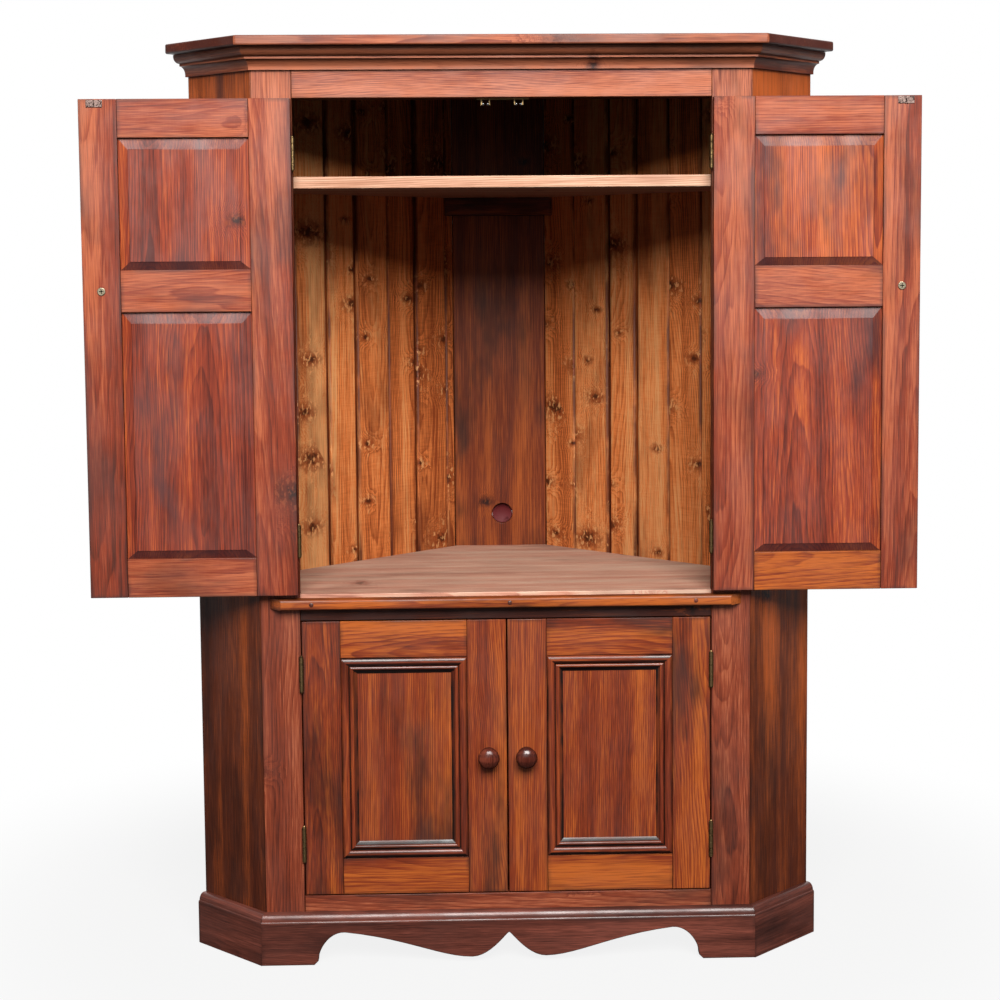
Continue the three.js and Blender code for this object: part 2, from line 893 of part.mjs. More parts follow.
function upperDoor(word, way) {
  const knobHeight = lockRailLow + upperLockRail / 2;
  const frameBody = leafFrame(
    way, upperOutline, upperOpenings, upperHinges, upperHingeLength, knobHeight,
  );
  const planted = upperOpenings.map((opening) => mould(way, opening, -fit));
  return [
    mesh(`upper_${word}_door_frame`, frameBody.add(join(planted)), 'stain'),
    mesh(`upper_${word}_door_top_panel`, panel(way, upperOpenings[0]), 'stain'),
    mesh(`upper_${word}_door_bottom_panel`, panel(way, upperOpenings[1]), 'stain'),
    mesh(`upper_${word}_door_knob`, knob(way * knobX, knobHeight), 'dark'),
    mesh(`upper_${word}_door_strike`, strike(way), 'steel'),
    ...upperHinges.map(([level, low]) => (
      mesh(`upper_${word}_${level}_hinge_door_leaf`, doorLeaf(way, low, upperHingeLength), 'brass')
    )),
  ];
}

function lowerDoor(word, way) {
  const knobHeight = lowerDoorBottom + lowerKnobShare * (lowerDoorTop - lowerDoorBottom);
  return [
    mesh(`lower_${word}_door_frame`, leafFrame(
      way, lowerOutline, [lowerOpening], lowerHinges, lowerHingeLength, knobHeight,
    ), 'stain'),
    mesh(`lower_${word}_door_panel`, panel(way, lowerOpening), 'stain'),
    mesh(`lower_${word}_door_moulding`, mould(way, lowerOpening, fit), 'stain'),
    mesh(`lower_${word}_door_knob`, knob(way * knobX, knobHeight), 'dark'),
    ...lowerHinges.map(([level, low]) => (
      mesh(`lower_${word}_${level}_hinge_door_leaf`, doorLeaf(way, low, lowerHingeLength), 'brass')
    )),
  ];
}

function hung(pieces, side, turn) {
  const group = new THREE.Group();
  group.position.set(side * (halfOpening - hingeGap / 2), -pinOffset, 0);
  group.rotation.z = turn;
  group.add(...pieces);
  return group;
}

const doors = sides.flatMap(([word, side]) => [
  hung(upperDoor(word, -side), side, Math.PI),
  hung(lowerDoor(word, -side), side, 0),
  hung([
    ...upperHinges.map(([level, low]) => (
      mesh(`upper_${word}_${level}_hinge_case_leaf`, caseLeaf(side, low, upperHingeLength), 'brass')
    )),
    ...lowerHinges.map(([level, low]) => (
      mesh(`lower_${word}_${level}_hinge_case_leaf`, caseLeaf(side, low, lowerHingeLength), 'brass')
    )),
  ], side, 0),
]);

// Twin ball catch: a plate under the top rail, and for each door two cheeks that carry the balls

const ballGap = tongueThickness + 2 * tonguePlay;
const ballPlace = ballGap / 2 + ballRadius;
const ballDepth = doorThickness + fit + tongueLength - ballRadius / 2;
const plateTop = compartmentTop - fit;

function catchUnit(side) {
  const centre = side * catchSpacing / 2;
  return [-1, 1].flatMap((way) => {
    const inner = centre + way * (ballPlace + ballRadius / 2);
    const outer = inner + way * cheekThickness;
    const ball = new THREE.SphereGeometry(ballRadius, roundSides, roundSides / 2);
    ball.translate(centre + way * ballPlace, ballDepth, catchHeight);
    const cheek = block(
      [Math.min(inner, outer), ballDepth - ballRadius, catchHeight - ballRadius],
      [Math.max(inner, outer), ballDepth + ballRadius, plateTop - fit],
    );
    return [solid(ball), cheek];
  });
}

const ballCatch = join([
  block(
    [-catchPlateLength / 2, ballDepth - ballRadius, plateTop - catchPlateThickness],
    [catchPlateLength / 2, ballDepth - ballRadius + catchPlateDepth, plateTop],
  ),
  ...catchUnit(-1),
  ...catchUnit(1),
]);

// The whole armoire, with its origin under the centre of its bounding box

const armoire = new THREE.Group();
const depthCentre = (cornerOuter[1] - topOverhang) / 2;
armoire.position.y = -depthCentre;
armoire.add(...frame, ...walls, ...boards, ...mouldings, ...doors);
armoire.add(mesh('ball_catch', ballCatch, 'steel'));

const wholeArmoire = new THREE.Group();
wholeArmoire.add(armoire);
wholeArmoire.updateMatrixWorld(true);

export default wholeArmoire;
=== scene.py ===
# %% [markdown]
# # A corner armoire in stained pine
#
# The armoire stands in a corner of a room. Its plan is a square with the front cut off: a flat
# front, two canted sides at 45 degrees, two back walls that meet the room's walls, and one board
# across the corner. This lesson dresses the measured model of it. The model comes in as a fixed
# frame of named parts, and each real board is then made again with eased edges, its own grain
# and its varnish. Lengths are in metres, Z is up, and the front faces -Y.

# %% Load the frame
import itertools
import math
import random

import bmesh
import bpy
from mathutils import Matrix, Vector
from mathutils.geometry import interpolate_bezier


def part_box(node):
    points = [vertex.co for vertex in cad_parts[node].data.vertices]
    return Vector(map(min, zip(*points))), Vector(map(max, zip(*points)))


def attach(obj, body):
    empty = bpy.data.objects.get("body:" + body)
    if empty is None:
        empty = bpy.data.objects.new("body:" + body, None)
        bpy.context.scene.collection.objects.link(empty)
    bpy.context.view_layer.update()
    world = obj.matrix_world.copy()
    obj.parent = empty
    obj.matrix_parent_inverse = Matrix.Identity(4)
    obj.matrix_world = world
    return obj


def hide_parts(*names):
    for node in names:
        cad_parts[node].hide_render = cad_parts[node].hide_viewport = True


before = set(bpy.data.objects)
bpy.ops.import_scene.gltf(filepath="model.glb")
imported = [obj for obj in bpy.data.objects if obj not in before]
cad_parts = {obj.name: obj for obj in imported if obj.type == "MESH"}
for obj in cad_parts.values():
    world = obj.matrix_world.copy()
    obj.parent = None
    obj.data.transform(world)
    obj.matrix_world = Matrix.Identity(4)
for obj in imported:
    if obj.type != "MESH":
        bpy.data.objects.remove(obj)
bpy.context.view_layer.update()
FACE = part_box("left_stile")[0].y

# %% [markdown]
# ## Camera
#
# The photograph was taken from a little above the middle of the armoire, with a lens of about
# 70 mm on a 36 mm frame, and it was cropped, so the middle of the lens isn't the middle of the
# picture. A small shift copies that crop. The camera's own three directions go straight into its
# matrix, because they were found from edges whose true directions are known.

# %% Camera
RIGHT = Vector((0.999543, -0.029349, -0.00728))
UP = Vector((0.009787, 0.086181, 0.996231))
BACK = RIGHT.cross(UP)
EYE = (-0.07339, FACE - 4.09069, 1.51276)
LENS_MM, SENSOR_MM = 69.506, 36
CROP_SHIFT = (-0.02565, -0.0712)
NEAREST, FURTHEST = 0.05, 90

camera_data = bpy.data.cameras.new("camera")
camera_data.sensor_width = SENSOR_MM
camera_data.lens = LENS_MM
camera_data.shift_x, camera_data.shift_y = CROP_SHIFT
camera_data.clip_start, camera_data.clip_end = NEAREST, FURTHEST
camera = bpy.data.objects.new("camera", camera_data)
turn = Matrix((RIGHT, UP, BACK)).transposed().to_4x4()
camera.matrix_world = Matrix.Translation(EYE) @ turn
bpy.context.scene.collection.objects.link(camera)
bpy.context.scene.camera = camera
print("camera at", [round(v, 3) for v in EYE])

# %% [markdown]
# ## Lamp
#
# The shadow that the shelf throws down the back boards falls at about 32 degrees, so the main
# light was high and in front, and the soft edge of that shadow gives the light's size. It stands
# far enough away to light the plinth nearly as well as the cornice. Almost no light bounced
# about, because the top of the compartment is nearly black, so the lamp's light isn't passed on
# from one surface to the next.

# %% Lamp
LAMP_PLACE = Vector((0.3, FACE - 5.0, 4.75))
LAMP_TARGET = Vector((0, 0, 1.0))
LAMP_SIZE = (3.8, 3.4)
LAMP_WATTS = 505
WARM_WHITE = (1, 0.985, 0.96)

lamp_data = bpy.data.lights.new("key_light", "AREA")
lamp_data.shape = "RECTANGLE"
lamp_data.size, lamp_data.size_y = LAMP_SIZE
lamp_data.energy = LAMP_WATTS
lamp_data.color = WARM_WHITE
lamp_data.cycles.max_bounces = 0
lamp = bpy.data.objects.new("key_light", lamp_data)
aim = (LAMP_TARGET - LAMP_PLACE).to_track_quat("-Z", "Y").to_matrix().to_4x4()
lamp.matrix_world = Matrix.Translation(LAMP_PLACE) @ aim
bpy.context.scene.collection.objects.link(lamp)
bpy.context.scene.view_settings.view_transform = "Standard"
print("lamp of", LAMP_WATTS, "watts at", [round(v, 2) for v in LAMP_PLACE])

# %% [markdown]
# ## Shader arithmetic
#
# A shader is easier to read as arithmetic than as boxes and wires. `Wire` holds one output of a
# node, and an expression such as `1 - knots * 0.5` adds the Math nodes that it needs. Every
# other node comes from the one function `add`, which takes the node's type, its settings and
# the values or wires of its sockets.

# %% Shader arithmetic
def add(tree, kind, settings=None, sockets=None, out=0):
    """Adds one node, sets it, feeds its sockets and returns one of its outputs."""
    node = tree.nodes.new(kind)
    for key, value in (settings or {}).items():
        if key == "stops":
            ramp = node.color_ramp
            while len(ramp.elements) < len(value):
                ramp.elements.new(1)
            for element, (place, colour) in zip(ramp.elements, value):
                element.position, element.color = place, colour
        else:
            setattr(node, key, value)
    for key, value in (sockets or {}).items():
        if isinstance(value, Wire):
            tree.links.new(value.socket, node.inputs[key])
        else:
            node.inputs[key].default_value = value
    return Wire(tree, node.outputs[out]) if node.outputs else None


class Wire:
    """One output of a material's nodes, with arithmetic on the number it carries."""

    def __init__(self, tree, socket):
        self.tree, self.socket = tree, socket

    def math(self, operation, *values):
        settings = {"operation": operation}
        return add(self.tree, "ShaderNodeMath", settings, dict(enumerate(values)))

    def __add__(self, other):
        return self.math("ADD", self, other)

    def __sub__(self, other):
        return self.math("SUBTRACT", self, other)

    def __mul__(self, other):
        return self.math("MULTIPLY", self, other)

    def __truediv__(self, other):
        return self.math("DIVIDE", self, other)

    def __pow__(self, other):
        return self.math("POWER", self, other)

    def __rsub__(self, other):
        return self.math("SUBTRACT", other, self)

    __radd__ = __add__
    __rmul__ = __mul__

    def below(self, other):
        return self.math("LESS_THAN", self, other)

    def larger(self, other):
        return self.math("MAXIMUM", self, other)

    def smaller(self, other):
        return self.math("MINIMUM", self, other)

    def size(self):
        return self.math("ABSOLUTE", self)

    def fract(self):
        return self.math("FRACT", self)

    def exp(self):
        return self.math("EXPONENT", self)

    def step(self, low, high):
        """Runs smoothly from 0 at low to 1 at high."""
        settings = {"interpolation_type": "SMOOTHSTEP"}
        return add(self.tree, "ShaderNodeMapRange", settings, {0: self, 1: low, 2: high})


def mix(factor, first, second):
    """Mixes two colours by a wire."""
    return add(
        factor.tree, "ShaderNodeMix", {"data_type": "RGBA"}, {0: factor, 6: first, 7: second}, out=2
    )


def spread(x, y, z):
    """Three wires as one vector."""
    return add(x.tree, "ShaderNodeCombineXYZ", {}, {0: x, 1: y, 2: z})


def noise(vector, detail=2.0, roughness=0.5):
    """Soft noise from 0 to 1 at a place."""
    sockets = {"Vector": vector, "Scale": 1.0, "Detail": detail, "Roughness": roughness}
    return add(vector.tree, "ShaderNodeTexNoise", {}, sockets)


def colour(code):
    """A colour as it looks on a screen, as the linear numbers that a shader takes."""
    parts = [int(code[i:i + 2], 16) / 255 for i in (0, 2, 4)]
    return tuple(v / 12.92 if v <= 0.04045 else ((v + 0.055) / 1.055) ** 2.4 for v in parts) + (1,)


def new_material(name):
    """A material without nodes, and its node tree."""
    material = bpy.data.materials.new(name)
    material.use_nodes = True
    material.node_tree.nodes.clear()
    return material, material.node_tree


def sees_background(tree, mirrored):
    """1 for the camera's rays and clear ones, and a level of its own for mirrored ones."""
    camera_ray, glossy_ray, clear_ray = (add(tree, "ShaderNodeLightPath", out=k) for k in (0, 3, 6))
    return camera_ray.larger(glossy_ray * mirrored).larger(clear_ray)


print("a middle brown is", [round(v, 3) for v in colour("804020")])

# %% [markdown]
# ## World and floor
#
# The background is white to the camera and in reflections, but lights the wood at a much lower
# level, so that the lamp models its edges. The varnish also shows what stood before the armoire:
# a bright sky above the camera's height, with dark ground below it and dark sides. That gives
# the upper doors a grey haze which the lower doors lack. The floor is one big pale plane. It
# fades to plain white away from the armoire, and close to it the shaded floor keeps a shadow.

# %% World
AMBIENT = 0.12
WHITE = (1, 1, 1, 1)
world = bpy.data.worlds.new("studio")
bpy.context.scene.world = world
world.use_nodes = True
world.node_tree.nodes.clear()
way = add(world.node_tree, "ShaderNodeTexCoord")
sideways, rearward, upward = (
    add(world.node_tree, "ShaderNodeSeparateXYZ", {}, {0: way}, out=k) for k in range(3)
)
in_front = (rearward * -1).step(0.1, 0.7) * upward.step(-0.04, 0.13)
in_front = in_front * (1 - (sideways + 0.12).size().step(0.12, 0.42))
mirrored = rearward.step(0.3, 0.8).larger(in_front)
level = sees_background(world.node_tree, mirrored) * (1 - AMBIENT) + AMBIENT
sky = add(world.node_tree, "ShaderNodeBackground", {}, {0: WHITE, 1: level})
add(world.node_tree, "ShaderNodeOutputWorld", {}, {0: sky})
print("world lights at", AMBIENT)

# %% Floor
HALF_FLOOR = 40
PALE_GREY = (0.55, 0.55, 0.55, 1)
NEAR_WHITENESS = 0.86
bm = bmesh.new()
bmesh.ops.create_grid(bm, x_segments=1, y_segments=1, size=HALF_FLOOR)
floor_mesh = bpy.data.meshes.new("floor")
bm.to_mesh(floor_mesh)
bm.free()
floor = bpy.data.objects.new("floor", floor_mesh)
bpy.context.scene.collection.objects.link(floor)
material, tree = new_material("pale_floor")
place = add(tree, "ShaderNodeTexCoord", out=3)
away = add(tree, "ShaderNodeVectorMath", {"operation": "LENGTH"}, {0: place}, out=1)
rearward = add(tree, "ShaderNodeSeparateXYZ", {}, {0: place}, out=1)
whiteness = away.step(0.8, 1.8) * (1 - NEAR_WHITENESS) + NEAR_WHITENESS
whiteness = whiteness * sees_background(tree, rearward.step(0.5, 2.0))
matt = add(tree, "ShaderNodeBsdfDiffuse", {}, {0: PALE_GREY})
white = add(tree, "ShaderNodeEmission", {}, {0: WHITE, 1: 1.0})
both = add(tree, "ShaderNodeMixShader", {}, {0: whiteness, 1: matt, 2: white})
add(tree, "ShaderNodeOutputMaterial", {}, {0: both})
floor_mesh.materials.append(material)
print("floor of", 2 * HALF_FLOOR, "m laid")

# %% [markdown]
# ## Pine
#
# Softwood grows in yearly rings round a pith, and a board is a slice of that. So the pattern
# starts from the distance to a pith that runs nearly along the board, a little behind its face.
# Where the slice grazes the rings they show as tall arches, and further out as close lines. The
# pith leans, which closes the arches. A knot is a branch: a round dark plug, with the rings
# pushed aside round it and bright flecks in its dark halo, which are pale wood with a painted
# highlight on them, as of raised fibres catching the light. Fine fibres break everything up: most
# are dark, and some took so little stain that they shine orange. Old polish and handling left
# cool dark clouds, and soil has gathered along the joints. Painted shade darkens faces that look
# down, such as bottom bevels and the undersides of beads. The quirk and hollow of a planted
# moulding hold dark glaze and painted shade, and gentle upward slopes such as the top bevels are
# darkened as well.
#
# Each vertex of a board carries its place in the tree in an attribute called `grain`: beside the
# pith, in front of it, and along it. Each board has its own pith, so no two boards match, and
# all boards of one stain share one material. Four more attributes help: `tone` makes some boards
# darker or paler, and on some boards it is painted light and shade that change with height or
# place; `inside` and `half` give the distance to the board's edges; and the last marks the
# moulding's quirk and hollow, for dark glaze and painted shade. The varnish is a clear coat whose
# strength varies, over a duller stain.
#
# A stain is five colours and some amounts. The wood runs from `pale` through `body` to `dark`,
# the fourth colour is that of clouds, soil and painted shade, and `knot` that of a knot's middle.
# `rough` and `coat` set the varnish. `blotches` is the strength of clouds, the next amount that
# of soil and painted shade together, `rings` and `streaks` those of the figure, and `density` is
# the share of places that hold a knot. Places for knots lie `reach` metres apart along the board.

# %% Stains
STAINS = {
    "door": dict(
        pale="D07048", body="9C3E24", dark="562214", blotch_and_shade="3A201E", knot="2A140F",
        rough=0.46, coat=0.8, blotches=0.5, grime_and_shade=0.6, density=0.10, rings=0.4, streaks=0.7,
    ),
    "panel": dict(
        pale="E07236", body="A84226", dark="602014", blotch_and_shade="422226", knot="2C140F",
        rough=0.46, coat=0.9, blotches=0.75, grime_and_shade=0.8, density=0.05, rings=0.6, streaks=1.0,
    ),
    "lower_door": dict(
        pale="D06C2C", body="943C1E", dark="541E12", blotch_and_shade="341A14", knot="26110C",
        rough=0.44, coat=0.7, blotches=0.75, grime_and_shade=0.6, density=0.05, rings=0.55, streaks=0.9,
    ),
    "moulding": dict(
        pale="C4602E", body="8A3A24", dark="4A1C12", blotch_and_shade="1E0F0C", knot="200E0C",
        rough=0.32, coat=1.0, blotches=0.5, grime_and_shade=1.0, density=0.0, rings=0.3, streaks=0.6,
    ),
    "case": dict(
        pale="D27852", body="98442A", dark="562216", blotch_and_shade="381E18", knot="2A130E",
        rough=0.46, coat=0.7, blotches=0.55, grime_and_shade=0.4, density=0.08, rings=0.4, streaks=0.7,
    ),
    "canted": dict(
        pale="D0662C", body="70331C", dark="421A11", blotch_and_shade="28140F", knot="1E0E0C",
        rough=0.48, coat=0.5, blotches=0.5, grime_and_shade=0.6, density=0.12, rings=0.25, streaks=0.45,
    ),
    "lining": dict(
        pale="FFB474", body="F88A48", dark="A04A24", blotch_and_shade="602C1C", knot="3A1C10",
        rough=0.52, coat=0.2, blotches=0.5, grime_and_shade=0.9, density=0.5, rings=0.6, streaks=1.0,
        reach=0.13,
    ),
    "corner": dict(
        pale="B85C26", body="7E3418", dark="4C1D10", blotch_and_shade="2C150E", knot="22100C",
        rough=0.48, coat=0.15, blotches=0.75, grime_and_shade=0.8, density=0.1, rings=0.4, streaks=0.9,
    ),
    "deck": dict(
        pale="FFD6BA", body="F4AC90", dark="BE7A66", blotch_and_shade="9A6858", knot="5A3426",
        rough=0.42, coat=0.8, blotches=0.5, grime_and_shade=0.0, density=0.1, rings=0.9, streaks=1.2,
    ),
    "shelf": dict(
        pale="FFD8B8", body="EEB494", dark="C08464", blotch_and_shade="A87460", knot="7A4430",
        rough=0.44, coat=0.3, blotches=0.25, grime_and_shade=0.0, density=0.08, rings=0.9, streaks=1.4,
    ),
    "plinth": dict(
        pale="A45A4A", body="784034", dark="46241E", blotch_and_shade="2E1A18", knot="1A0C0C",
        rough=0.30, coat=1.0, blotches=0.6, grime_and_shade=0.5, density=0.04, rings=0.3, streaks=0.5,
    ),
    "knob": dict(
        pale="8A4230", body="5E261A", dark="3A1610", blotch_and_shade="2A100C", knot="1A0A0A",
        rough=0.20, coat=1.0, blotches=0.4, grime_and_shade=0.5, density=0.0, rings=0.3, streaks=0.5,
    ),
}
print("stains:", ", ".join(STAINS))

# %% Varnished pine
KNOT_ROW = 0.09
RINGS_PER_METRE = 230
TONE_STEP = 0.12


def pine(
    name, pale, body, dark, blotch_and_shade, knot, rough, coat, blotches, grime_and_shade, density, rings, streaks,
    reach=0.22,
):
    """A material from one stain's colours and amounts."""
    material, tree = new_material(name)

    def attribute(name, out):
        return add(tree, "ShaderNodeAttribute", {"attribute_name": name}, out=out)

    def parts_of(vector):
        return (add(tree, "ShaderNodeSeparateXYZ", {}, {0: vector}, out=k) for k in range(3))

    beside, before, along = parts_of(attribute("grain", 1))
    own_across, own_along, _ = parts_of(attribute("inside", 1))
    half_across, half_along, _ = parts_of(attribute("half", 1))

    def patches(across, deep, lengthwise, detail=2.0, roughness=0.5, shift=0):
        """Noise from -0.5 to 0.5, with so many patches to a metre each way."""
        ahead = along * lengthwise
        place = spread(beside * across, before * deep, ahead + shift if shift else ahead)
        return noise(place, detail, roughness) - 0.5

    # Knots: cells of a flat pattern, some of which hold one
    spot = spread(beside * (1 / KNOT_ROW), along * (1 / reach), before * 0)
    flat = {"voronoi_dimensions": "2D", "feature": "F1"}
    sockets = {"Vector": spot, "Scale": 1.0, "Randomness": 0.8}
    chances, centre = (add(tree, "ShaderNodeTexVoronoi", flat, sockets, out=k) for k in (1, 2))
    luck, size = (add(tree, "ShaderNodeSeparateColor", {}, {0: chances}, out=k) for k in (0, 1))
    across_to, along_to, _ = parts_of(centre)
    aside = beside - across_to * KNOT_ROW
    ahead = along - along_to * reach
    there = luck.below(density)
    radius = size * size * 0.010 + 0.0045
    ragged = patches(90, 90, 90, 3.0, 0.6)
    apart = (aside * aside * 0.35 + ahead * ahead * 0.9) ** 0.5 / radius + ragged * 3.2
    chained = (aside * aside * 1.6 + ahead * ahead * 0.02) ** 0.5 / radius
    swell = (apart * apart * -0.08).exp() * there * radius * 3.0

    # Yearly rings, pushed aside by the knots and by the tree's own wandering
    wander = patches(7, 5, 1.5)
    ripple = patches(55, 30, 8, 1.0)
    moved = beside + wander * 0.05
    radial = (moved * moved + before * before) ** 0.5 + swell + wander * 0.03 + ripple * 0.004
    years = radial * RINGS_PER_METRE
    year = years.fract()
    late = (year ** 2) * (1 - (year - 0.93).larger(0) * 14)
    strength = noise(spread(years * 0.35, beside * 3, along * 0.7), 1.0) * 1.6

    # Fibres, streaks, bands, cross ripples and clouds
    fibre = patches(850, 850, 14)
    streak = patches(240, 170, 3.2, 3.0, 0.6)
    thin = patches(500, 400, 8, 2.0, 0.6, 3)
    band = patches(24, 16, 0.9)
    cross = patches(30, 30, 300, 1.0)
    cloud = patches(7, 7, 2.2, 4.0, 0.62, 5)
    smudge = patches(14, 14, 6, 4.0, 0.6, 9)

    # The wood's own colour, from pale to dark, with some fibres left pale or gone dark
    shade = (late - 0.33) * strength * rings + streak * streaks + fibre * 1.1 + band * 1.4 + 0.42
    shade = shade + cross * (density * 0.6) + attribute("tone", 2) * TONE_STEP
    stops = [(0.0, colour(pale)), (0.45, colour(body)), (1.0, colour(dark))]
    tint = add(tree, "ShaderNodeValToRGB", {"stops": stops}, {0: shade})
    unstained = thin.step(0.06, 0.20) * (0.5 - band * 2.0).larger(0)
    tint = mix(unstained * 0.5, tint, colour(pale))
    tint = mix(thin.step(-0.04, -0.16) * 0.35, tint, colour(dark))

    # Clouds; soil at the joints; glaze and painted shade in hollows; painted shade below
    stained = cloud.step(0.0, 0.18) * blotches
    tint = mix(stained, tint, colour(blotch_and_shade))
    near = (half_across - own_across.size()).smaller(half_along - own_along.size())
    _, _, tilt = parts_of(add(tree, "ShaderNodeNewGeometry", out=1))
    # Painted shade: faces that look down, such as bottom bevels and the undersides of beads
    underside_shade = (tilt * -1).step(0.08, 0.22) * 0.9
    # Gentle upward slopes, such as the top bevels, are darkened too
    facing_up = tilt.step(0.08, 0.20) * (0.55 - tilt.step(0.3, 0.5))
    # Soil at the joints, the hollows' mark and the slopes, as one mask of soil and painted shade
    grime_and_shade_mask = (1 - near.step(0.0, 0.010)) * smudge.step(-0.16, 0.14) + attribute("dirt", 2)
    grime_and_shade_mask = (grime_and_shade_mask + (underside_shade + facing_up).larger(0)).smaller(1.0)
    tint = mix(grime_and_shade_mask * grime_and_shade, tint, colour(blotch_and_shade))

    # Each knot's halo and middle, and pale flecks round it with a painted highlight on them
    tint = mix((1 - apart.step(0.6, 3.2)) * there * 0.9, tint, colour(dark))
    tint = mix((1 - apart.step(0.2, 1.3)) * there * 0.8, tint, colour(knot))
    # Pale flecks with a painted highlight, as of raised fibres catching the light
    fleck_and_glint = patches(130, 80, 75).step(0.04, 0.12)
    flecked = (1 - apart.step(1.4, 4.2)).larger((1 - chained.step(0.5, 1.6)) * 0.8)
    tint = mix(fleck_and_glint * flecked * there * min(0.85, density * 1.2 + 0.15), tint, colour(pale))

    relief = late * 0.3 + fibre * 0.5 + streak * 0.8
    bump = add(tree, "ShaderNodeBump", {}, {"Strength": 0.14, "Distance": 0.0006, "Height": relief})
    sockets = {
        "Base Color": tint,
        "Roughness": fibre * 0.15 + stained * 0.05 + rough,
        "Normal": bump,
        "Specular IOR Level": 0.2,
        "Coat Weight": smudge.step(-0.14, 0.16) * coat * 0.7 + coat * 0.3,
        "Coat Roughness": rough,
        "Coat IOR": 1.65,
    }
    skin = add(tree, "ShaderNodeBsdfPrincipled", {}, sockets)
    add(tree, "ShaderNodeOutputMaterial", {}, {0: skin})
    return material


FINISHES = {name: pine(f"{name}_pine", **recipe) for name, recipe in STAINS.items()}
SLOTS = dict.fromkeys(("door", "panel", "lower_door", "moulding", "case", "canted"), "stained_pine")
SLOTS |= dict.fromkeys(("lining", "corner", "deck", "shelf"), "interior_pine")
SLOTS |= {"plinth": "dark_pine", "knob": "knob_pine"}
print("materials:", len(FINISHES))

# %% [markdown]
# ## Metal and plastic
#
# The hinges and screws are brass that has dulled: a metal whose colour goes brown in patches,
# rough where it is brown. The catch's balls are plated steel, and its strikes have gone dark. The
# cap in the cable hole is satin plastic.

# %% Metal and plastic
def worn(name, clean, dull, rough, metal, scale, patches):
    """A surface that is clean in some places and dull in others."""
    material, tree = new_material(name)
    place = add(tree, "ShaderNodeTexCoord", out=3)
    sized = add(tree, "ShaderNodeVectorMath", {"operation": "SCALE"}, {0: place, 3: scale})
    fine = add(tree, "ShaderNodeVectorMath", {"operation": "SCALE"}, {0: place, 3: scale * 9})
    wear = noise(sized, 4.0, 0.65).step(0.5 - patches, 0.72 - patches)
    grit = noise(fine, 2.0)
    bump = add(tree, "ShaderNodeBump", {}, {"Strength": 0.1, "Distance": 0.0003, "Height": grit})
    sockets = {
        "Base Color": mix(wear, colour(clean), colour(dull)),
        "Metallic": metal,
        "Roughness": wear * 0.25 + grit * 0.12 + rough,
        "Normal": bump,
    }
    skin = add(tree, "ShaderNodeBsdfPrincipled", {}, sockets)
    add(tree, "ShaderNodeOutputMaterial", {}, {0: skin})
    return material


FINISHES["brass"] = worn("dull_brass", "BC9C6C", "4E3A26", 0.28, 1.0, 60, 0.05)
FINISHES["screw"] = worn("screw_brass", "C8BCA0", "5A4E3E", 0.30, 1.0, 90, 0.0)
FINISHES["steel"] = worn("plated_steel", "D6D6D8", "7A7468", 0.16, 1.0, 70, -0.02)
FINISHES["strike"] = worn("dark_strike", "A08880", "2A1E1C", 0.34, 1.0, 220, 0.06)
FINISHES["cap"] = worn("crimson_plastic", "6E1A1E", "4C1216", 0.62, 0.0, 40, 0.0)
SLOTS |= {"brass": "hinge_brass", "screw": "hinge_brass", "steel": "catch_steel"}
SLOTS |= {"strike": "catch_steel", "cap": "cap_plastic"}
print("finishes:", len(FINISHES))

# %% [markdown]
# ## From wood to pieces
#
# A board starts as a box and has its edges eased, as sandpaper does. Its broad faces stay flat
# and only the eased edges are shaded smooth, which keeps the fine bright line on each arris. It
# is given its grain while it still lies along the axes, and only then set in place, so one
# helper serves the front, the canted sides, the back walls and the doors. A matrix holds each of
# those places. Boards that are glued together in the real piece are joined into one object.

# %% Places and grain
SLANT = math.sqrt(0.5)
TURN = math.tan(math.radians(22.5))


def place_of(origin, x_way, y_way):
    """A place whose own X and Y run in two directions of the plan."""
    columns = ((*x_way, 0), (*y_way, 0), (0, 0, 1))
    return Matrix.Translation(origin) @ Matrix(columns).transposed().to_4x4()


CASE = Matrix.Translation((0, FACE, 0))
SIDES = (("left", -1), ("right", 1))
seeds = itertools.count(1)
AXES = {"upright": (0, 1, 2), "level": (2, 1, 0), "flat": (1, 2, 0)}


def grained(bm, grain, tone=None, dirt=None):
    """Writes each vertex's place in its tree and on its board, and the board's own tone."""
    across, depth, along = AXES[grain]
    chance = random.Random(next(seeds))
    spans = [[vert.co[axis] for vert in bm.verts] for axis in range(3)]
    middle = Vector((min(span) + max(span)) / 2 for span in spans)
    half = Vector((max(spans[axis]) - min(spans[axis])) / 2 for axis in (across, along, depth))
    heart = half[0] * chance.choice((-1, 1)) * chance.uniform(0.1, 2.2)
    behind = chance.uniform(0.03, 0.11)
    lean = chance.choice((-1, 1)) * chance.uniform(0.008, 0.035)
    drift = chance.uniform(-0.02, 0.02)
    start = chance.uniform(0, 20)
    tone = chance.uniform(-0.7, 0.7) if tone is None else tone
    vectors, floats = bm.verts.layers.float_vector, bm.verts.layers.float
    grain_layer, inside_layer, half_layer = map(vectors.new, ("grain", "inside", "half"))
    tone_layer, glaze_and_shade_layer = map(floats.new, ("tone", "dirt"))
    for vert in bm.verts:
        x, y, z = (vert.co[axis] - middle[axis] for axis in (across, depth, along))
        vert[grain_layer] = (x - heart + drift * z, y + behind + lean * z, z + start)
        vert[inside_layer] = (x, z, y)
        vert[half_layer] = half
        vert[tone_layer] = tone(vert.co) if callable(tone) else tone
        vert[glaze_and_shade_layer] = dirt(vert.co) if dirt else 0
    return bm


print("ways for the grain to run:", ", ".join(AXES))

# %% Boards
THICK = 0.022
EASED = 0.0012
SHARP = math.radians(25)


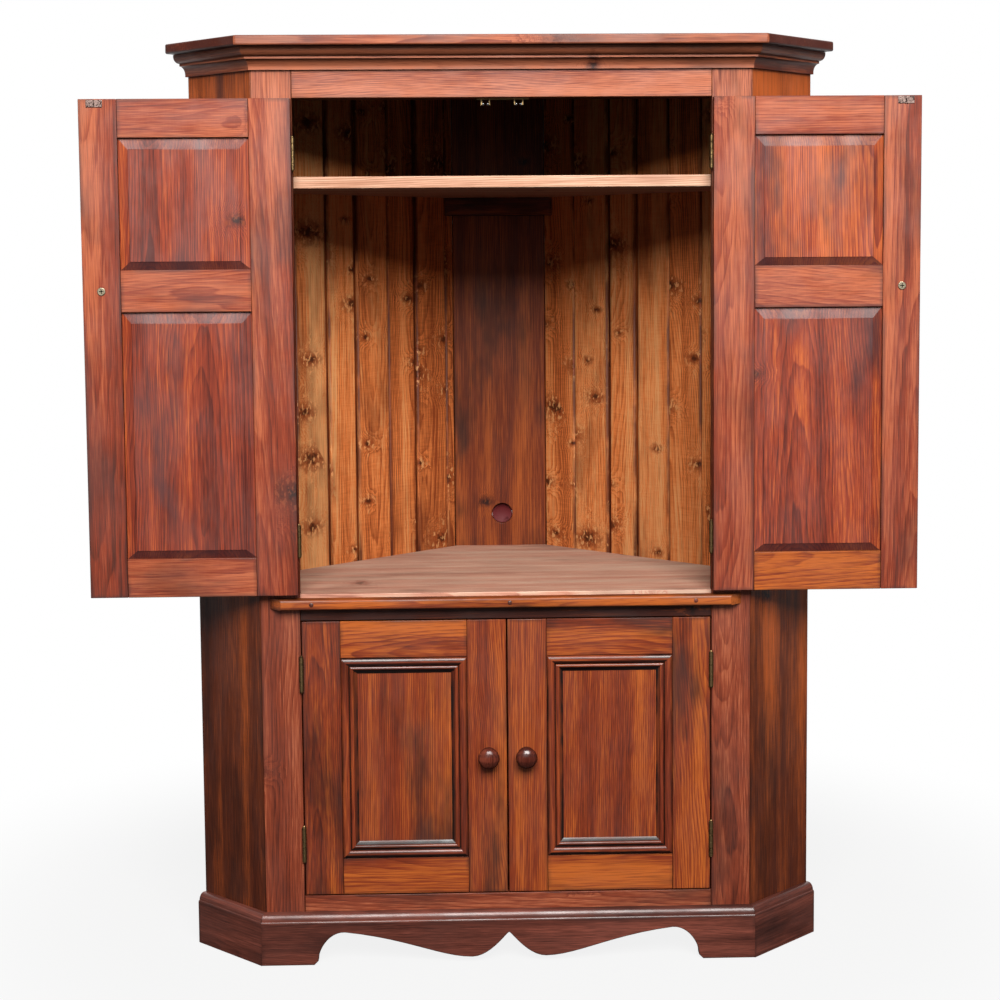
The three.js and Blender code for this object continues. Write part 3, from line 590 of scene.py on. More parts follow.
def box_mesh(low, high):
    """A plain box between two corners."""
    low, high = Vector(map(min, low, high)), Vector(map(max, low, high))
    bm = bmesh.new()
    size = Matrix.Diagonal((*(high - low), 1))
    bmesh.ops.create_cube(bm, size=1, matrix=Matrix.Translation((low + high) / 2) @ size)
    return bm


def ease(bm, size, segments=2, chosen=None):
    """Rounds sharp edges a little. The rounds are shaded smooth and the flats stay flat."""
    sharp = [e for e in (chosen or bm.edges) if e.calc_face_angle(0) > SHARP]
    rounds = bmesh.ops.bevel(
        bm, geom=sharp, offset=size, offset_type="OFFSET", segments=segments, profile=0.5,
        affect="EDGES", material=-1, clamp_overlap=True,
    )["faces"]
    for face in rounds:
        face.smooth = True
    return bm


def board(low, high, grain, eased=EASED, tone=None):
    """A straight board between two corners."""
    return grained(ease(box_mesh(low, high), eased), grain, tone)


def thickened(points, way):
    """A flat outline of 3-D points, given its thickness in one direction."""
    bm = bmesh.new()
    face = bm.faces.new([bm.verts.new(point) for point in points])
    new = bmesh.ops.extrude_face_region(bm, geom=[face])["geom"]
    moved = [item for item in new if isinstance(item, bmesh.types.BMVert)]
    bmesh.ops.translate(bm, verts=moved, vec=way)
    bmesh.ops.recalc_face_normals(bm, faces=bm.faces[:])
    return bm


def raised(plan, low, high, grain, eased=EASED, segments=2, tone=None):
    """A board sawn to a plan outline."""
    bm = thickened([(x, y, low) for x, y in plan], (0, 0, high - low))
    return grained(ease(bm, eased, segments), grain, tone)


test = ease(box_mesh((0, 0, 0), (0.1, THICK, 1)), EASED)
print("an eased board has", len(test.faces), "faces")
test.free()

# %% Join, place and hand over
made = []


def moved(bm, place):
    """Sets a part in its place."""
    bmesh.ops.transform(bm, matrix=place, verts=bm.verts[:])
    return bm


def joined(parts, place):
    """Parts that are set in place and joined into one mesh."""
    whole = bmesh.new()
    for part in parts:
        lump = bpy.data.meshes.new("lump")
        moved(part, place).to_mesh(lump)
        part.free()
        whole.from_mesh(lump)
        bpy.data.meshes.remove(lump)
    bmesh.ops.recalc_face_normals(whole, faces=whole.faces[:])
    return whole


def piece(name, body, finish, parts, place=CASE, stands_for=()):
    """Makes one object of its parts and hands it to the frame."""
    whole = joined(parts, place)
    open_edges = sum(not edge.is_manifold for edge in whole.edges)
    if open_edges:
        print(name, "has open edges:", open_edges)
    data = bpy.data.meshes.new(name)
    whole.to_mesh(data)
    whole.free()
    data.materials.append(FINISHES[finish])
    thing = bpy.data.objects.new(name, data)
    bpy.context.scene.collection.objects.link(thing)
    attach(thing, body)
    if stands_for:
        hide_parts(*stands_for)
    made.append(thing)


print("pieces so far:", len(made))

# %% [markdown]
# ## Face frame
#
# The front is a frame of five boards: two upright stiles, and three rails between them. The
# stiles are sawn at 22.5 degrees where they meet the canted sides. The inner edges stand back by
# a hair, so that the hinge leaves let into them show. The tone of a tall board is a function of
# height: painted light makes the stiles paler towards the top, the left one more than the right.
# A higher tone is a darker one, and the middle rail has the darkest, because it stands in the
# nosing's shadow.

# %% Face frame
HALF_FRONT, HALF_OPENING, CANT = 0.526, 0.441, 0.150
JOINT, HAIR = 0.0003, 0.0002
TALL_EASED = 0.0014
floor_z, case_top = (corner.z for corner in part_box("left_stile"))


def flipped(points, side):
    """A plan that is turned over to the left when the side is -1."""
    return [(side * x, y) for x, y in points]


for word, side in SIDES:
    plan = [
        (HALF_OPENING + HAIR, 0), (HALF_FRONT - JOINT, 0),
        (HALF_FRONT - THICK * TURN - JOINT, THICK), (HALF_OPENING + HAIR, THICK),
    ]
    # Painted light: the stile's tone grows paler towards the top, more on the left side
    stile = raised(
        flipped(plan, side), floor_z, case_top, "upright", TALL_EASED,
        tone=lambda co: 1.2 - (1.4 - 0.3 * side) * co.z,
    )
    piece(f"{word}_stile_board", "case", "case", [stile], CASE, [f"{word}_stile"])

for name, finish, tone in (
    ("top_rail", "case", -2.2), ("mid_rail", "canted", 5.0), ("bottom_rail", "case", -0.6)
):
    low, high = (corner - Vector((0, FACE, 0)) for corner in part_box(name))
    rail = board(low, high, "level", tone=tone)
    piece(f"{name}_board", "case", finish, [rail], CASE, [name])
print(len(made), "pieces")

# %% [markdown]
# ## Canted sides
#
# Each canted side is one wide board, mitred to the stile. It has a place of its own: X runs back
# from the front corner along the side, and Y runs into the case.

# %% Canted sides
RUN = CANT / SLANT
SIDE_PLACE = {
    side: place_of((side * HALF_FRONT, FACE, 0), (side * SLANT, SLANT), (-side * SLANT, SLANT))
    for _, side in SIDES
}
for word, side in SIDES:
    plan = [(0, 0), (RUN, 0), (RUN, THICK), (THICK * TURN, THICK)]
    # Painted light and shade: the side darkens towards the bottom, and the right side is paler at
    # its top than the left
    panel = raised(
        plan, floor_z, case_top, "upright", TALL_EASED,
        tone=lambda co: 1.5 - (2.4 + 0.8 * side) * co.z,
    )
    piece(
        f"{word}_canted_board", "case", "canted", [panel], SIDE_PLACE[side],
        [f"{word}_side_panel"],
    )
print(len(made), "pieces")

# %% [markdown]
# ## Mouldings
#
# A moulding is one profile run along a line. The profile is a few points, the run is one
# extrusion, and each mitre is one cut by a plane, as on the saw. The profile is shaded smooth
# along its curves, and its crisp arrises stay sharp. A moulding that goes round the case is one
# stick along the front and one along each canted side.

# %% Run a moulding
def arc(centre, width, height, start, turn=90, steps=8):
    """Points on part of an ellipse, from an angle in degrees."""
    angles = [math.radians(start + turn * i / steps) for i in range(steps + 1)]
    return [(centre[0] + width * math.cos(a), centre[1] + height * math.sin(a)) for a in angles]


def soften(bm, limit=32):
    """Shades curves smooth, and keeps edges sharp that turn by more than the limit."""
    for face in bm.faces:
        face.smooth = True
    for edge in bm.edges:
        edge.smooth = edge.calc_face_angle(4) < math.radians(limit)
    return bm


def sawn(bm, cuts):
    """Saws ends off and closes the cuts. Each cut is a point and the side that falls off."""
    for point, off in cuts:
        everything = bm.verts[:] + bm.edges[:] + bm.faces[:]
        bmesh.ops.bisect_plane(
            bm, geom=everything, dist=1e-7, plane_co=point, plane_no=off, clear_outer=True,
        )
        bmesh.ops.holes_fill(bm, edges=bm.edges[:], sides=0)
    bmesh.ops.recalc_face_normals(bm, faces=bm.faces[:])
    return bm


def stick(profile, start, end, cuts=(), tone=None, dirt=None):
    """A profile of (y, z) points, run along X and sawn to length."""
    bm = sawn(thickened([(start, y, z) for y, z in profile], (end - start, 0, 0)), cuts)
    return grained(soften(bm), "level", tone, dirt)


def out_of(profile):
    """A profile of (distance out, height) as one of (y, z), because outwards is -Y."""
    return [(-out, z) for out, z in profile]


print("a quarter round has", len(arc((0, 0), 1, 1, 0)), "points")

# %% Sticks for the front and the sides
MITRE = JOINT / 2
RETURN_MITRE = [((MITRE, 0, 0), (-1, TURN, 0))]
FRONT_MITRES = [
    ((HALF_FRONT - MITRE, 0, 0), (1, TURN, 0)),
    ((MITRE - HALF_FRONT, 0, 0), (-1, TURN, 0)),
]
OVERLONG, OVERRUN = 0.7, 0.1


def front_stick(profile, tone=None):
    """A stick along the front, mitred at both ends."""
    return stick(out_of(profile), -OVERLONG, OVERLONG, FRONT_MITRES, tone)


def return_stick(profile, tone=None):
    """A stick along a canted side, mitred where it meets the front one."""
    return stick(out_of(profile), -OVERRUN, RUN, RETURN_MITRE, tone)


print("the front is mitred at", [round(point[0], 5) for point, _ in FRONT_MITRES])

# %% [markdown]
# ## Cornice and top board
#
# From the top down, the cornice has a round, a flat fillet and a long hollow that ends in a
# small foot. The top board overhangs it, with softly rounded edges.

# %% Cornice
(_, _, cornice_low), (_, _, cornice_high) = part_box("cornice_front")
REACH, FILLET, FOOT = 0.038, 0.022, 0.007
ROUND_HEIGHT, FILLET_HEIGHT, EDGE_HEIGHT = 0.018, 0.005, 0.004
FRONT_TONE, RETURN_TONE = -4.6, -2.1
fillet_low = cornice_high - ROUND_HEIGHT - FILLET_HEIGHT
cove = fillet_low - cornice_low - EDGE_HEIGHT
edge_z = cornice_high - EDGE_HEIGHT
round_part = arc((FILLET, edge_z), REACH - FILLET, ROUND_HEIGHT - EDGE_HEIGHT, 0, -90)
hollow = arc((FILLET, fillet_low - cove), FILLET - FOOT, cove, 90, 90)
cornice = [
    (JOINT, cornice_high), (REACH, cornice_high), *round_part, (FILLET, fillet_low),
    *hollow[1:], (FOOT, cornice_low), (JOINT, cornice_low),
]
front = front_stick(cornice, FRONT_TONE)
piece("cornice_front_stick", "case", "case", [front], CASE, ["cornice_front"])
for word, side in SIDES:
    run = return_stick(cornice, RETURN_TONE)
    piece(
        f"cornice_{word}_stick", "case", "case", [run], SIDE_PLACE[side], [f"cornice_{word}"]
    )
print("the cornice has", len(cornice), "points")

# %% Top board
HANG = 0.060
WALL = HALF_FRONT + 2 * CANT
CORNER_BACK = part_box("corner_back_board")[1].y - FACE
top_low, top_high = (corner.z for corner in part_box("top_board"))


def side_x(y, inset):
    """Half the width at the canted sides, moved in by an inset, at a depth."""
    return HALF_FRONT + y - inset / SLANT


def wall_x(y, inset):
    """Half the width at the back walls, moved in by an inset, at a depth."""
    return WALL - y - inset / SLANT


def turn_y(side_inset, wall_inset):
    """The depth at which a canted side meets a back wall."""
    return (WALL - HALF_FRONT - wall_inset / SLANT + side_inset / SLANT) / 2


def whole_plan(half):
    """A plan with its other half."""
    return half + flipped(half, -1)[::-1]


rear = turn_y(-HANG, 0)
half = [
    (side_x(-HANG, -HANG), -HANG), (side_x(rear, -HANG), rear),
    (wall_x(CORNER_BACK, 0), CORNER_BACK),
]
EDGE_TONE, FLAT_TONE = -2.0, 6.0
top = raised(
    whole_plan(half), top_low, top_high, "flat", 0.0038, 4,
    tone=lambda co: EDGE_TONE if co.y < 0.002 - HANG else FLAT_TONE,
)
piece("top_slab", "case", "case", [top], CASE, ["top_board"])
print(len(made), "pieces")

# %% [markdown]
# ## Back walls
#
# Each wall is a row of narrow knotty boards, tongued together. The front edges are chamfered, so
# two neighbours make a V. Some joints have opened with the years, and there the tongue shows as
# a dark strip. The seams were measured, so the boards have unequal widths. A wall's own X runs
# from the corner board towards the front, and its Y runs out through the wall.

# %% Back walls
BOARD, CORNER = 0.018, 0.112
CORNER_FRONT = CORNER_BACK - BOARD
WALL_PLACE = {
    side: place_of(
        (side * CORNER, FACE + CORNER_FRONT, 0), (side * SLANT, -SLANT), (side * SLANT, SLANT)
    )
    for _, side in SIDES
}
SEAMS = {
    "left": (0.027, 0.129, 0.218, 0.321, 0.409, 0.505, 0.601, 0.697),
    "right": (0.098, 0.209, 0.2955, 0.3945, 0.4905, 0.587, 0.683),
}
# On the left wall these tones are painted light and shade: darker near the corner, paler towards
# the front
BOARD_TONES = {
    "left": (2.4, 1.8, 1.4, 0.6, -0.4, -1.4, -2.2, -2.4, -1.2),
    "right": (0.6, -0.4, 0.6, -0.4, 0.8, -0.2, 0.8, 0.2),
}
OPEN_JOINTS = {"left": (0.129, 0.321, 0.409), "right": (0.209, 0.2955)}
OPENED, CHAMFER = 0.0042, 0.0034
wall_end = (side_x(turn_y(THICK, BOARD), THICK) - CORNER) / SLANT - JOINT


def back_board(start, end, mitred, tone):
    """One upright board, chamfered along its room side."""
    back = start - BOARD * TURN + 0.0004 if mitred else start
    bm = thickened(
        [(start, 0, floor_z), (end, 0, floor_z), (end, BOARD, floor_z), (back, BOARD, floor_z)],
        (0, 0, case_top - floor_z),
    )
    arrises = [
        e for e in bm.edges
        if e.calc_length() > 1 and all(abs(vert.co.y) < 1e-6 for vert in e.verts)
    ]
    return grained(ease(bm, CHAMFER, 1, arrises), "upright", tone)


def tongue(seam):
    """The strip of wood behind the joint of two boards."""
    low, high = (seam - 0.006, 0.0065, floor_z + 0.001), (seam + 0.006, 0.0115, case_top - 0.001)
    return board(low, high, "upright", 0.0004)


for word, side in SIDES:
    place, edges = WALL_PLACE[side], (JOINT, *SEAMS[word], wall_end)
    boards = []
    for start, end, tone in zip(edges, edges[1:], BOARD_TONES[word]):
        low, high = (OPENED if e in OPEN_JOINTS[word] else HAIR for e in (start, end))
        boards.append(back_board(start + low, end - high, start == JOINT, tone))
    piece(f"{word}_wall_boards", "case", "lining", boards, place, [f"{word}_back_boards"])
    piece(f"{word}_wall_tongues", "case", "corner", map(tongue, SEAMS[word]), place)
print(len(made), "pieces")

# %% [markdown]
# ## Board across the corner
#
# One wide board closes the corner. A hole for cables is bored through it near the deck, and a
# dark cap is pushed into the hole from behind. The hole is made by filling the flat between a
# rectangle and a circle, and then giving that face its thickness.

# %% Corner board with its hole
HOLE = Vector((0.004, CORNER_FRONT, 0.8875))
HOLE_RADIUS = (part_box("cable_hole_cap")[1].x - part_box("cable_hole_cap")[0].x) / 2 + JOINT


def bored_board(half_width, low, high, hole, radius, thickness, spread_by):
    """A board with a round hole, whose back is wider than its front."""
    bm = bmesh.new()
    rim = bmesh.ops.create_circle(bm, segments=64, radius=radius, cap_ends=False)["verts"]
    upright = Matrix.Translation(hole) @ Matrix.Rotation(math.pi / 2, 4, "X")
    bmesh.ops.transform(bm, matrix=upright, verts=rim)
    ends = [(-half_width, low), (half_width, low), (half_width, high), (-half_width, high)]
    corners = [bm.verts.new((x, hole.y, z)) for x, z in ends]
    for one, other in zip(corners, corners[1:] + corners[:1]):
        bm.edges.new((one, other))
    bmesh.ops.triangle_fill(bm, edges=bm.edges[:], use_beauty=True, use_dissolve=False)
    new = bmesh.ops.extrude_face_region(bm, geom=bm.faces[:])["geom"]
    back = [item for item in new if isinstance(item, bmesh.types.BMVert)]
    bmesh.ops.translate(bm, verts=back, vec=(0, thickness, 0))
    for vert in back:
        if abs(abs(vert.co.x) - half_width) < 1e-6:
            vert.co.x += math.copysign(spread_by, vert.co.x)
    bmesh.ops.recalc_face_normals(bm, faces=bm.faces[:])
    return grained(ease(bm, EASED), "upright")


corner_board = bored_board(
    CORNER - JOINT, floor_z, case_top, HOLE, HOLE_RADIUS, BOARD, BOARD * TURN - JOINT
)
piece("corner_bored_board", "case", "corner", [corner_board], CASE, ["corner_back_board"])
print("the hole is", round(2 * HOLE_RADIUS * 1000, 1), "mm wide")

# %% Turn a round piece
def turned(profile, steps=48):
    """Spins (radius, height) points about the Z axis."""
    bm = bmesh.new()
    verts = [bm.verts.new((radius, 0, height)) for radius, height in profile]
    edges = [bm.edges.new(pair) for pair in zip(verts, verts[1:])]
    bmesh.ops.spin(
        bm, geom=verts + edges, cent=(0, 0, 0), axis=(0, 0, 1), dvec=(0, 0, 0),
        angle=2 * math.pi, steps=steps, use_merge=True,
    )
    bmesh.ops.remove_doubles(bm, verts=bm.verts[:], dist=1e-6)
    bmesh.ops.recalc_face_normals(bm, faces=bm.faces[:])
    return soften(bm, 40)


def aimed(bm, origin, way):
    """Turns a piece's own Z towards a direction and sets it at a point."""
    aim = Vector(way).to_track_quat("Z", "Y").to_matrix().to_4x4()
    return moved(bm, Matrix.Translation(origin) @ aim)


cap_radius = HOLE_RADIUS - JOINT
cap = turned([
    (0, 0.0062), (cap_radius * 0.72, 0.0062), (cap_radius * 0.80, 0.0078),
    (cap_radius - 0.0006, 0.008), (cap_radius, 0.0074), (cap_radius, 0), (0, 0),
])
aimed(cap, (HOLE.x, CORNER_BACK, HOLE.z), (0, -1, 0))
piece("cable_cap", "case", "cap", [cap], CASE, ["cable_hole_cap"])
print(len(made), "pieces")

# %% [markdown]
# ## Deck, shelf and cupboard floor
#
# Three flat boards fill the plan of the case, each sawn to the same outline at its own height.
# The deck reaches the front between the stiles. The shelf stands back from the front and rests
# on a batten along the corner board and one on each canted side.

# %% Flat boards
INSET = THICK + JOINT
WALL_INSET = BOARD + JOINT
SHELF_FRONT = 0.030


def inside_plan(front):
    """Half of the inside of the case, from a depth to the corner board."""
    rear = turn_y(INSET, WALL_INSET)
    back = CORNER_FRONT - JOINT
    return [
        (side_x(front, INSET), front), (side_x(rear, INSET), rear),
        (wall_x(back, WALL_INSET), back),
    ]


deck_low, deck_high = (corner.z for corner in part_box("deck_board"))
deck_half = [(HALF_OPENING - JOINT, 0), (HALF_OPENING - JOINT, INSET), *inside_plan(INSET)]
deck = raised(whole_plan(deck_half), deck_low, deck_high, "flat", 0.0016, 3)
piece("deck_slab", "case", "deck", [deck], CASE, ["deck_board"])

shelf_low, shelf_high = (corner.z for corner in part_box("upper_shelf"))
shelf = raised(whole_plan(inside_plan(SHELF_FRONT)), shelf_low, shelf_high, "flat", 0.0022, 3)
piece("shelf_slab", "case", "shelf", [shelf], CASE, ["upper_shelf"])

floor_low, floor_high = (corner.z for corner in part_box("cupboard_floor"))
base = raised(whole_plan(inside_plan(INSET)), floor_low, floor_high, "flat")
piece("cupboard_base", "case", "corner", [base], CASE, ["cupboard_floor"])
print(len(made), "pieces")

# %% Battens under the shelf
BATTEN, BATTEN_LENGTH, BATTEN_EASED = 0.020, 0.140, 0.0015
batten_low, batten_high = (corner.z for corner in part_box("shelf_batten_back"))
front, back = CORNER_FRONT - JOINT - BATTEN, CORNER_FRONT - JOINT
half = [(wall_x(front, WALL_INSET), front), (wall_x(back, WALL_INSET), back)]
batten = raised(whole_plan(half), batten_low, batten_high, "level", BATTEN_EASED)
piece("back_batten", "case", "corner", [batten], CASE, ["shelf_batten_back"])
for word, side in SIDES:
    end = RUN - WALL_INSET
    low, high = (end - BATTEN_LENGTH, INSET, batten_low), (end, INSET + BATTEN, batten_high)
    batten = board(low, high, "level", BATTEN_EASED)
    piece(f"{word}_batten", "case", "corner", [batten], SIDE_PLACE[side], [f"shelf_batten_{word}"])
print(len(made), "pieces")

# %% [markdown]
# ## Nosing
#
# A strip with a rounded upper edge is planted on the middle rail, just under the deck. Three
# wooden plugs cover its screws.

# %% Nosing
(_, _, nosing_low), (_, _, nosing_high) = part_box("deck_nosing")
PROUD, HALF_NOSING = 0.025, 0.505
UNDER_ROUND, UPPER_ROUND = 0.003, 0.006
nosing_profile = [
    (JOINT, nosing_low),
    *arc((PROUD - UNDER_ROUND, nosing_low + UNDER_ROUND), UNDER_ROUND, UNDER_ROUND, -90, 90, 4),
    *arc((PROUD - UPPER_ROUND, nosing_high - UPPER_ROUND), UPPER_ROUND, UPPER_ROUND, 0, 90, 8),
    (JOINT, nosing_high),
]
ends = [((HALF_NOSING, 0, 0), (1, -1, 0)), ((-HALF_NOSING, 0, 0), (-1, -1, 0))]
nosing = stick(out_of(nosing_profile), -OVERLONG, OVERLONG, ends, tone=-1.8)
piece("nosing_strip", "case", "lower_door", [nosing], CASE, ["deck_nosing"])
print("the nosing's profile has", len(nosing_profile), "points")

# %% Plugs of the nosing
PLUG_HEIGHT, PLUG_DEPTH, PLUG_RADIUS = 0.788, 0.004, 0.0047
plugs = []
for x in (-0.415, 0.007, 0.405):
    plug = turned([
        (0, 0.0005), (0.0040, 0.0005), (PLUG_RADIUS, 0), (PLUG_RADIUS, -PLUG_DEPTH),
        (0, -PLUG_DEPTH),
    ], 24)
    aimed(plug, (x, -PROUD, PLUG_HEIGHT), (0, -1, 0))
    plugs.append(grained(plug, "upright"))
piece("nosing_plugs", "case", "plinth", plugs)
print(len(made), "pieces")

# %% [markdown]
# ## Plinth
#
# The front of the plinth is a board whose lower edge is cut in curves: a pointed notch in the
# middle, a lobe on each side of it, and a long rise to a small arch beside each foot. The edge
# is a chain of four Bezier curves. A moulding with a bead and a round runs along the top and
# along the plain sides.

# %% Edge of the plinth's front
PLINTH, NOTCH, LOBE = 0.021, 0.066, 0.0125
(_, _, _), (_, _, plinth_high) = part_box("plinth_left")
mould_low = plinth_high - 0.021
foot = HALF_FRONT + PLINTH * TURN - 0.113
arch, heel = foot - 0.067, foot - 0.009
curves = [
    ((0, NOTCH), (0.005, NOTCH), (0.040, LOBE), (0.080, LOBE)),
    ((0.080, LOBE), (0.147, LOBE), (arch - 0.134, 0.055), (arch, 0.071)),
    ((arch, 0.071), (arch + 0.0335, 0.07325), (heel, 0.0355), (heel, 0.009)),
    ((heel, 0.009), (foot - 0.006, 0.006), (foot - 0.003, 0.003), (foot, 0)),
]
edge = [(0, NOTCH)]
for curve in curves:
    points = interpolate_bezier(*(Vector((x, z, 0)) for x, z in curve), 12)
    edge += [(point.x, point.y) for point in points[1:]]
half = [*edge, (0.545, 0), (0.545, mould_low)]
outline = half + flipped(half[1:], -1)[::-1]
print("the outline has", len(outline), "points")

# %% Plinth
apron = thickened([(x, -PLINTH, z) for x, z in outline], (0, PLINTH - JOINT, 0))
sawn(apron, FRONT_MITRES)
lower_edges = [
    e for e in apron.edges
    if all(abs(vert.co.y + PLINTH) < 1e-6 and vert.co.z < mould_low - 0.001 for vert in e.verts)
]
grained(ease(apron, 0.0016, 2, lower_edges), "level", lambda co: 8 * max(abs(co.x) - 0.3, 0))
bead = arc((PLINTH - 0.003, mould_low), 0.003, 0.005, 0, 90, 5)
slope = arc((0.005, mould_low + 0.005), PLINTH - 0.008, 0.016, 0, 90, 8)
plinth_moulding = [(JOINT, mould_low), *bead, *slope[1:], (JOINT, plinth_high)]
plain_board = [(JOINT, 0), (PLINTH, 0), (PLINTH, mould_low), (JOINT, mould_low)]
front = [apron, front_stick(plinth_moulding)]
piece("plinth_apron", "case", "plinth", front, CASE, ["plinth_front"])
for word, side in SIDES:
    sticks = [return_stick(profile) for profile in (plain_board, plinth_moulding)]
    piece(f"{word}_plinth_return", "case", "plinth", sticks, SIDE_PLACE[side], [f"plinth_{word}"])
print(len(made), "pieces")

# %% [markdown]
# ## Screws
#
# A screw head is a disc with a cross cut into it. The ring between the disc's edge and the cross
# is filled flat, and the cross is pushed down. The same head serves the knobs, the hinges, the
# catch and the strikes, at different sizes.

# %% Screw head
SCREWS = {
    "knob": (0.0085, 0.0022, 0.0022),
    "strike": (0.0036, 0.0010, 0.0009),
    "hinge": (0.0032, 0.0002, 0.0008),
    "catch": (0.0036, 0.0008, 0.0009),
}


def screw_head(radius, height, recess):
    """A head that stands on the plane z = 0, with a cross recess in its top."""
    bm = bmesh.new()
    rim = bmesh.ops.create_circle(bm, segments=32, radius=radius, cap_ends=False)["verts"]
    arm, half = radius * 0.55, radius * 0.11
    corner = [(arm, half), (half, half), (half, arm)]
    cross = []
    for quarter in range(4):
        spin = Matrix.Rotation(quarter * math.pi / 2, 2)
        cross += [bm.verts.new((*(spin @ Vector(point)), 0)) for point in corner]
    inner = [bm.edges.new(pair) for pair in zip(cross, cross[1:] + cross[:1])]
    bmesh.ops.triangle_fill(bm, edges=bm.edges[:], use_beauty=True)
    bmesh.ops.translate(bm, verts=bm.verts[:], vec=(0, 0, height))
    sunk = bmesh.ops.extrude_edge_only(bm, edges=inner)["geom"]
    low = [item for item in sunk if isinstance(item, bmesh.types.BMVert)]
    bmesh.ops.translate(bm, verts=low, vec=(0, 0, -recess))
    bmesh.ops.scale(bm, verts=low, vec=(0.7, 0.7, 1))
    skirt = [e for e in bm.edges if e.is_boundary and all(v in rim for v in e.verts)]
    down = bmesh.ops.extrude_edge_only(bm, edges=skirt)["geom"]
    base = [item for item in down if isinstance(item, bmesh.types.BMVert)]
    bmesh.ops.translate(bm, verts=base, vec=(0, 0, -height))
    bmesh.ops.holes_fill(bm, edges=bm.edges[:], sides=0)
    bmesh.ops.recalc_face_normals(bm, faces=bm.faces[:])
    top_edge = [e for e in bm.edges if all(v in rim for v in e.verts) and len(e.link_faces) == 2]
    return ease(bm, min(height, radius) * 0.5, 3, top_edge)


for use, sizes in SCREWS.items():
    test = screw_head(*sizes)
    print("screw head for a", use, "has", len(test.faces), "faces")
    test.free()

# %% [markdown]
# ## Doors
#
# Each door is two stiles, and rails between them, round fielded panels. Inside, a panel has a
# raised field with a wide bevel. Outside, it is flat, and a bold moulding is planted round it.
# A door is built in its own place, where X runs from the hinge pin towards the meeting edge, Y
# runs from the outer face to the inner one, and Z is up. The upper doors rest wide open and the
# lower doors rest shut, so the two kinds of place run opposite ways.

# %% Door places and sizes
PIN = 0.440
PIN_FRONT = 0.005
DOORS = {
    "upper": dict(
        hinge_stile=0.088, meeting_stile=0.3595, leaf=0.068, way=1, finish="door", panel="panel",
        painted_top_light=2.4, panels=("top_panel", "bottom_panel"),
    ),
    "lower": dict(
        hinge_stile=0.083, meeting_stile=0.3545, leaf=0.076, way=-1, finish="lower_door",
        panel="lower_door", painted_top_light=0.0, panels=("panel",),
    ),
}
DOOR_PLACE = {
    (level, side): place_of(
        (side * PIN, FACE - PIN_FRONT, 0), (side * size["way"], 0), (0, -size["way"])
    )
    for level, size in DOORS.items() for _, side in SIDES
}
EDGE, END = 0.0012, 0.4385
OUTER, INNER = 0.005, 0.027
print(len(DOOR_PLACE), "doors")

# %% Raised panel
TONGUE, BEVEL = 0.008, 0.020
PANEL_BACK, PANEL_FLAT = 0.013, 0.019
RISE, STEP_WIDTH, STEP_RISE = 0.0050, 0.0007, 0.0010


def raised_panel(left, right, low, high, tone):
    """A panel whose tongue is held by the frame, with a bevelled and raised field inside."""
    bm = box_mesh(
        (left - TONGUE, PANEL_BACK, low - TONGUE), (right + TONGUE, PANEL_FLAT, high + TONGUE)
    )
    field = max(bm.faces, key=lambda face: face.calc_center_median().y)
    bmesh.ops.inset_region(bm, faces=[field], thickness=TONGUE, use_even_offset=True)
    bmesh.ops.inset_region(bm, faces=[field], thickness=BEVEL, use_even_offset=True)
    bmesh.ops.translate(bm, verts=field.verts[:], vec=(0, RISE, -0.0035))
    bmesh.ops.inset_region(bm, faces=[field], thickness=STEP_WIDTH, use_even_offset=True)
    bmesh.ops.translate(bm, verts=field.verts[:], vec=(0, STEP_RISE, 0))
    bmesh.ops.recalc_face_normals(bm, faces=bm.faces[:])
    ease(bm, 0.0005, 2, field.edges[:])

    def stained(co):
        """The bevel is paler than the field, and the field is darker at its foot than at its head.
        """
        on_bevel = abs(co.y - PANEL_FLAT) < 0.0005
        return tone - 1.2 if on_bevel else tone + 1.5 * ((low + high) / 2 - co.z)

    return grained(bm, "upright", stained)


print("a panel's field is raised", round((RISE + STEP_RISE) * 1000, 1), "mm")

# %% Planted moulding
MOULD = 0.035
mould_profile = [
    (0, 0.0127), (0, 0.0045), *arc((0.0085, 0.0045), 0.0085, -0.0055, 180, -180, 16)[1:],
    (0.0170, 0.0070), (0.0185, 0.0070), *arc((0.0230, 0.0070), 0.0045, -0.0035, 180, -180, 12)[1:],
    (0.0275, 0.0095), (0.0330, 0.0112), (MOULD, 0.0127),
]


def moulding_glaze_and_shade(co):
    """Dark glaze and painted shade fill the quirk between the two beads, and the hollow down to the
    panel.
    """
    return 0.9 if 0.0168 < co.z < 0.0190 else 0.45 if co.z > 0.0272 else 0.0


def planted(left, right, low, high):
    """Four mitred sticks round an opening, on the outer face of a door."""
    sticks = []
    profile = [(level, inwards + JOINT) for inwards, level in mould_profile]
    corners = [(left, low), (right, low), (right, high), (left, high)]
    for turn_count, (x, z) in enumerate(corners):
        long = (right - left, high - low)[turn_count % 2]
        cuts = [((0, 0, 0), (-1, 0, 1)), ((long, 0, 0), (1, 0, 1))]
        run = stick(profile, 0, long, cuts, dirt=moulding_glaze_and_shade)
        spin = Matrix.Rotation(-turn_count * math.pi / 2, 4, "Y")
        sticks.append(moved(run, Matrix.Translation((x, 0, z)) @ spin))
    return sticks


print("a planted moulding has", len(mould_profile), "points")

# %% [markdown]
# ## Fittings
#
# A knob is one profile, turned. A strike is a plate with a tongue. A hinge has two leaves: the
# case's leaf has three of the five knuckles and the tips of the pin, and the door's leaf has the
# other two.

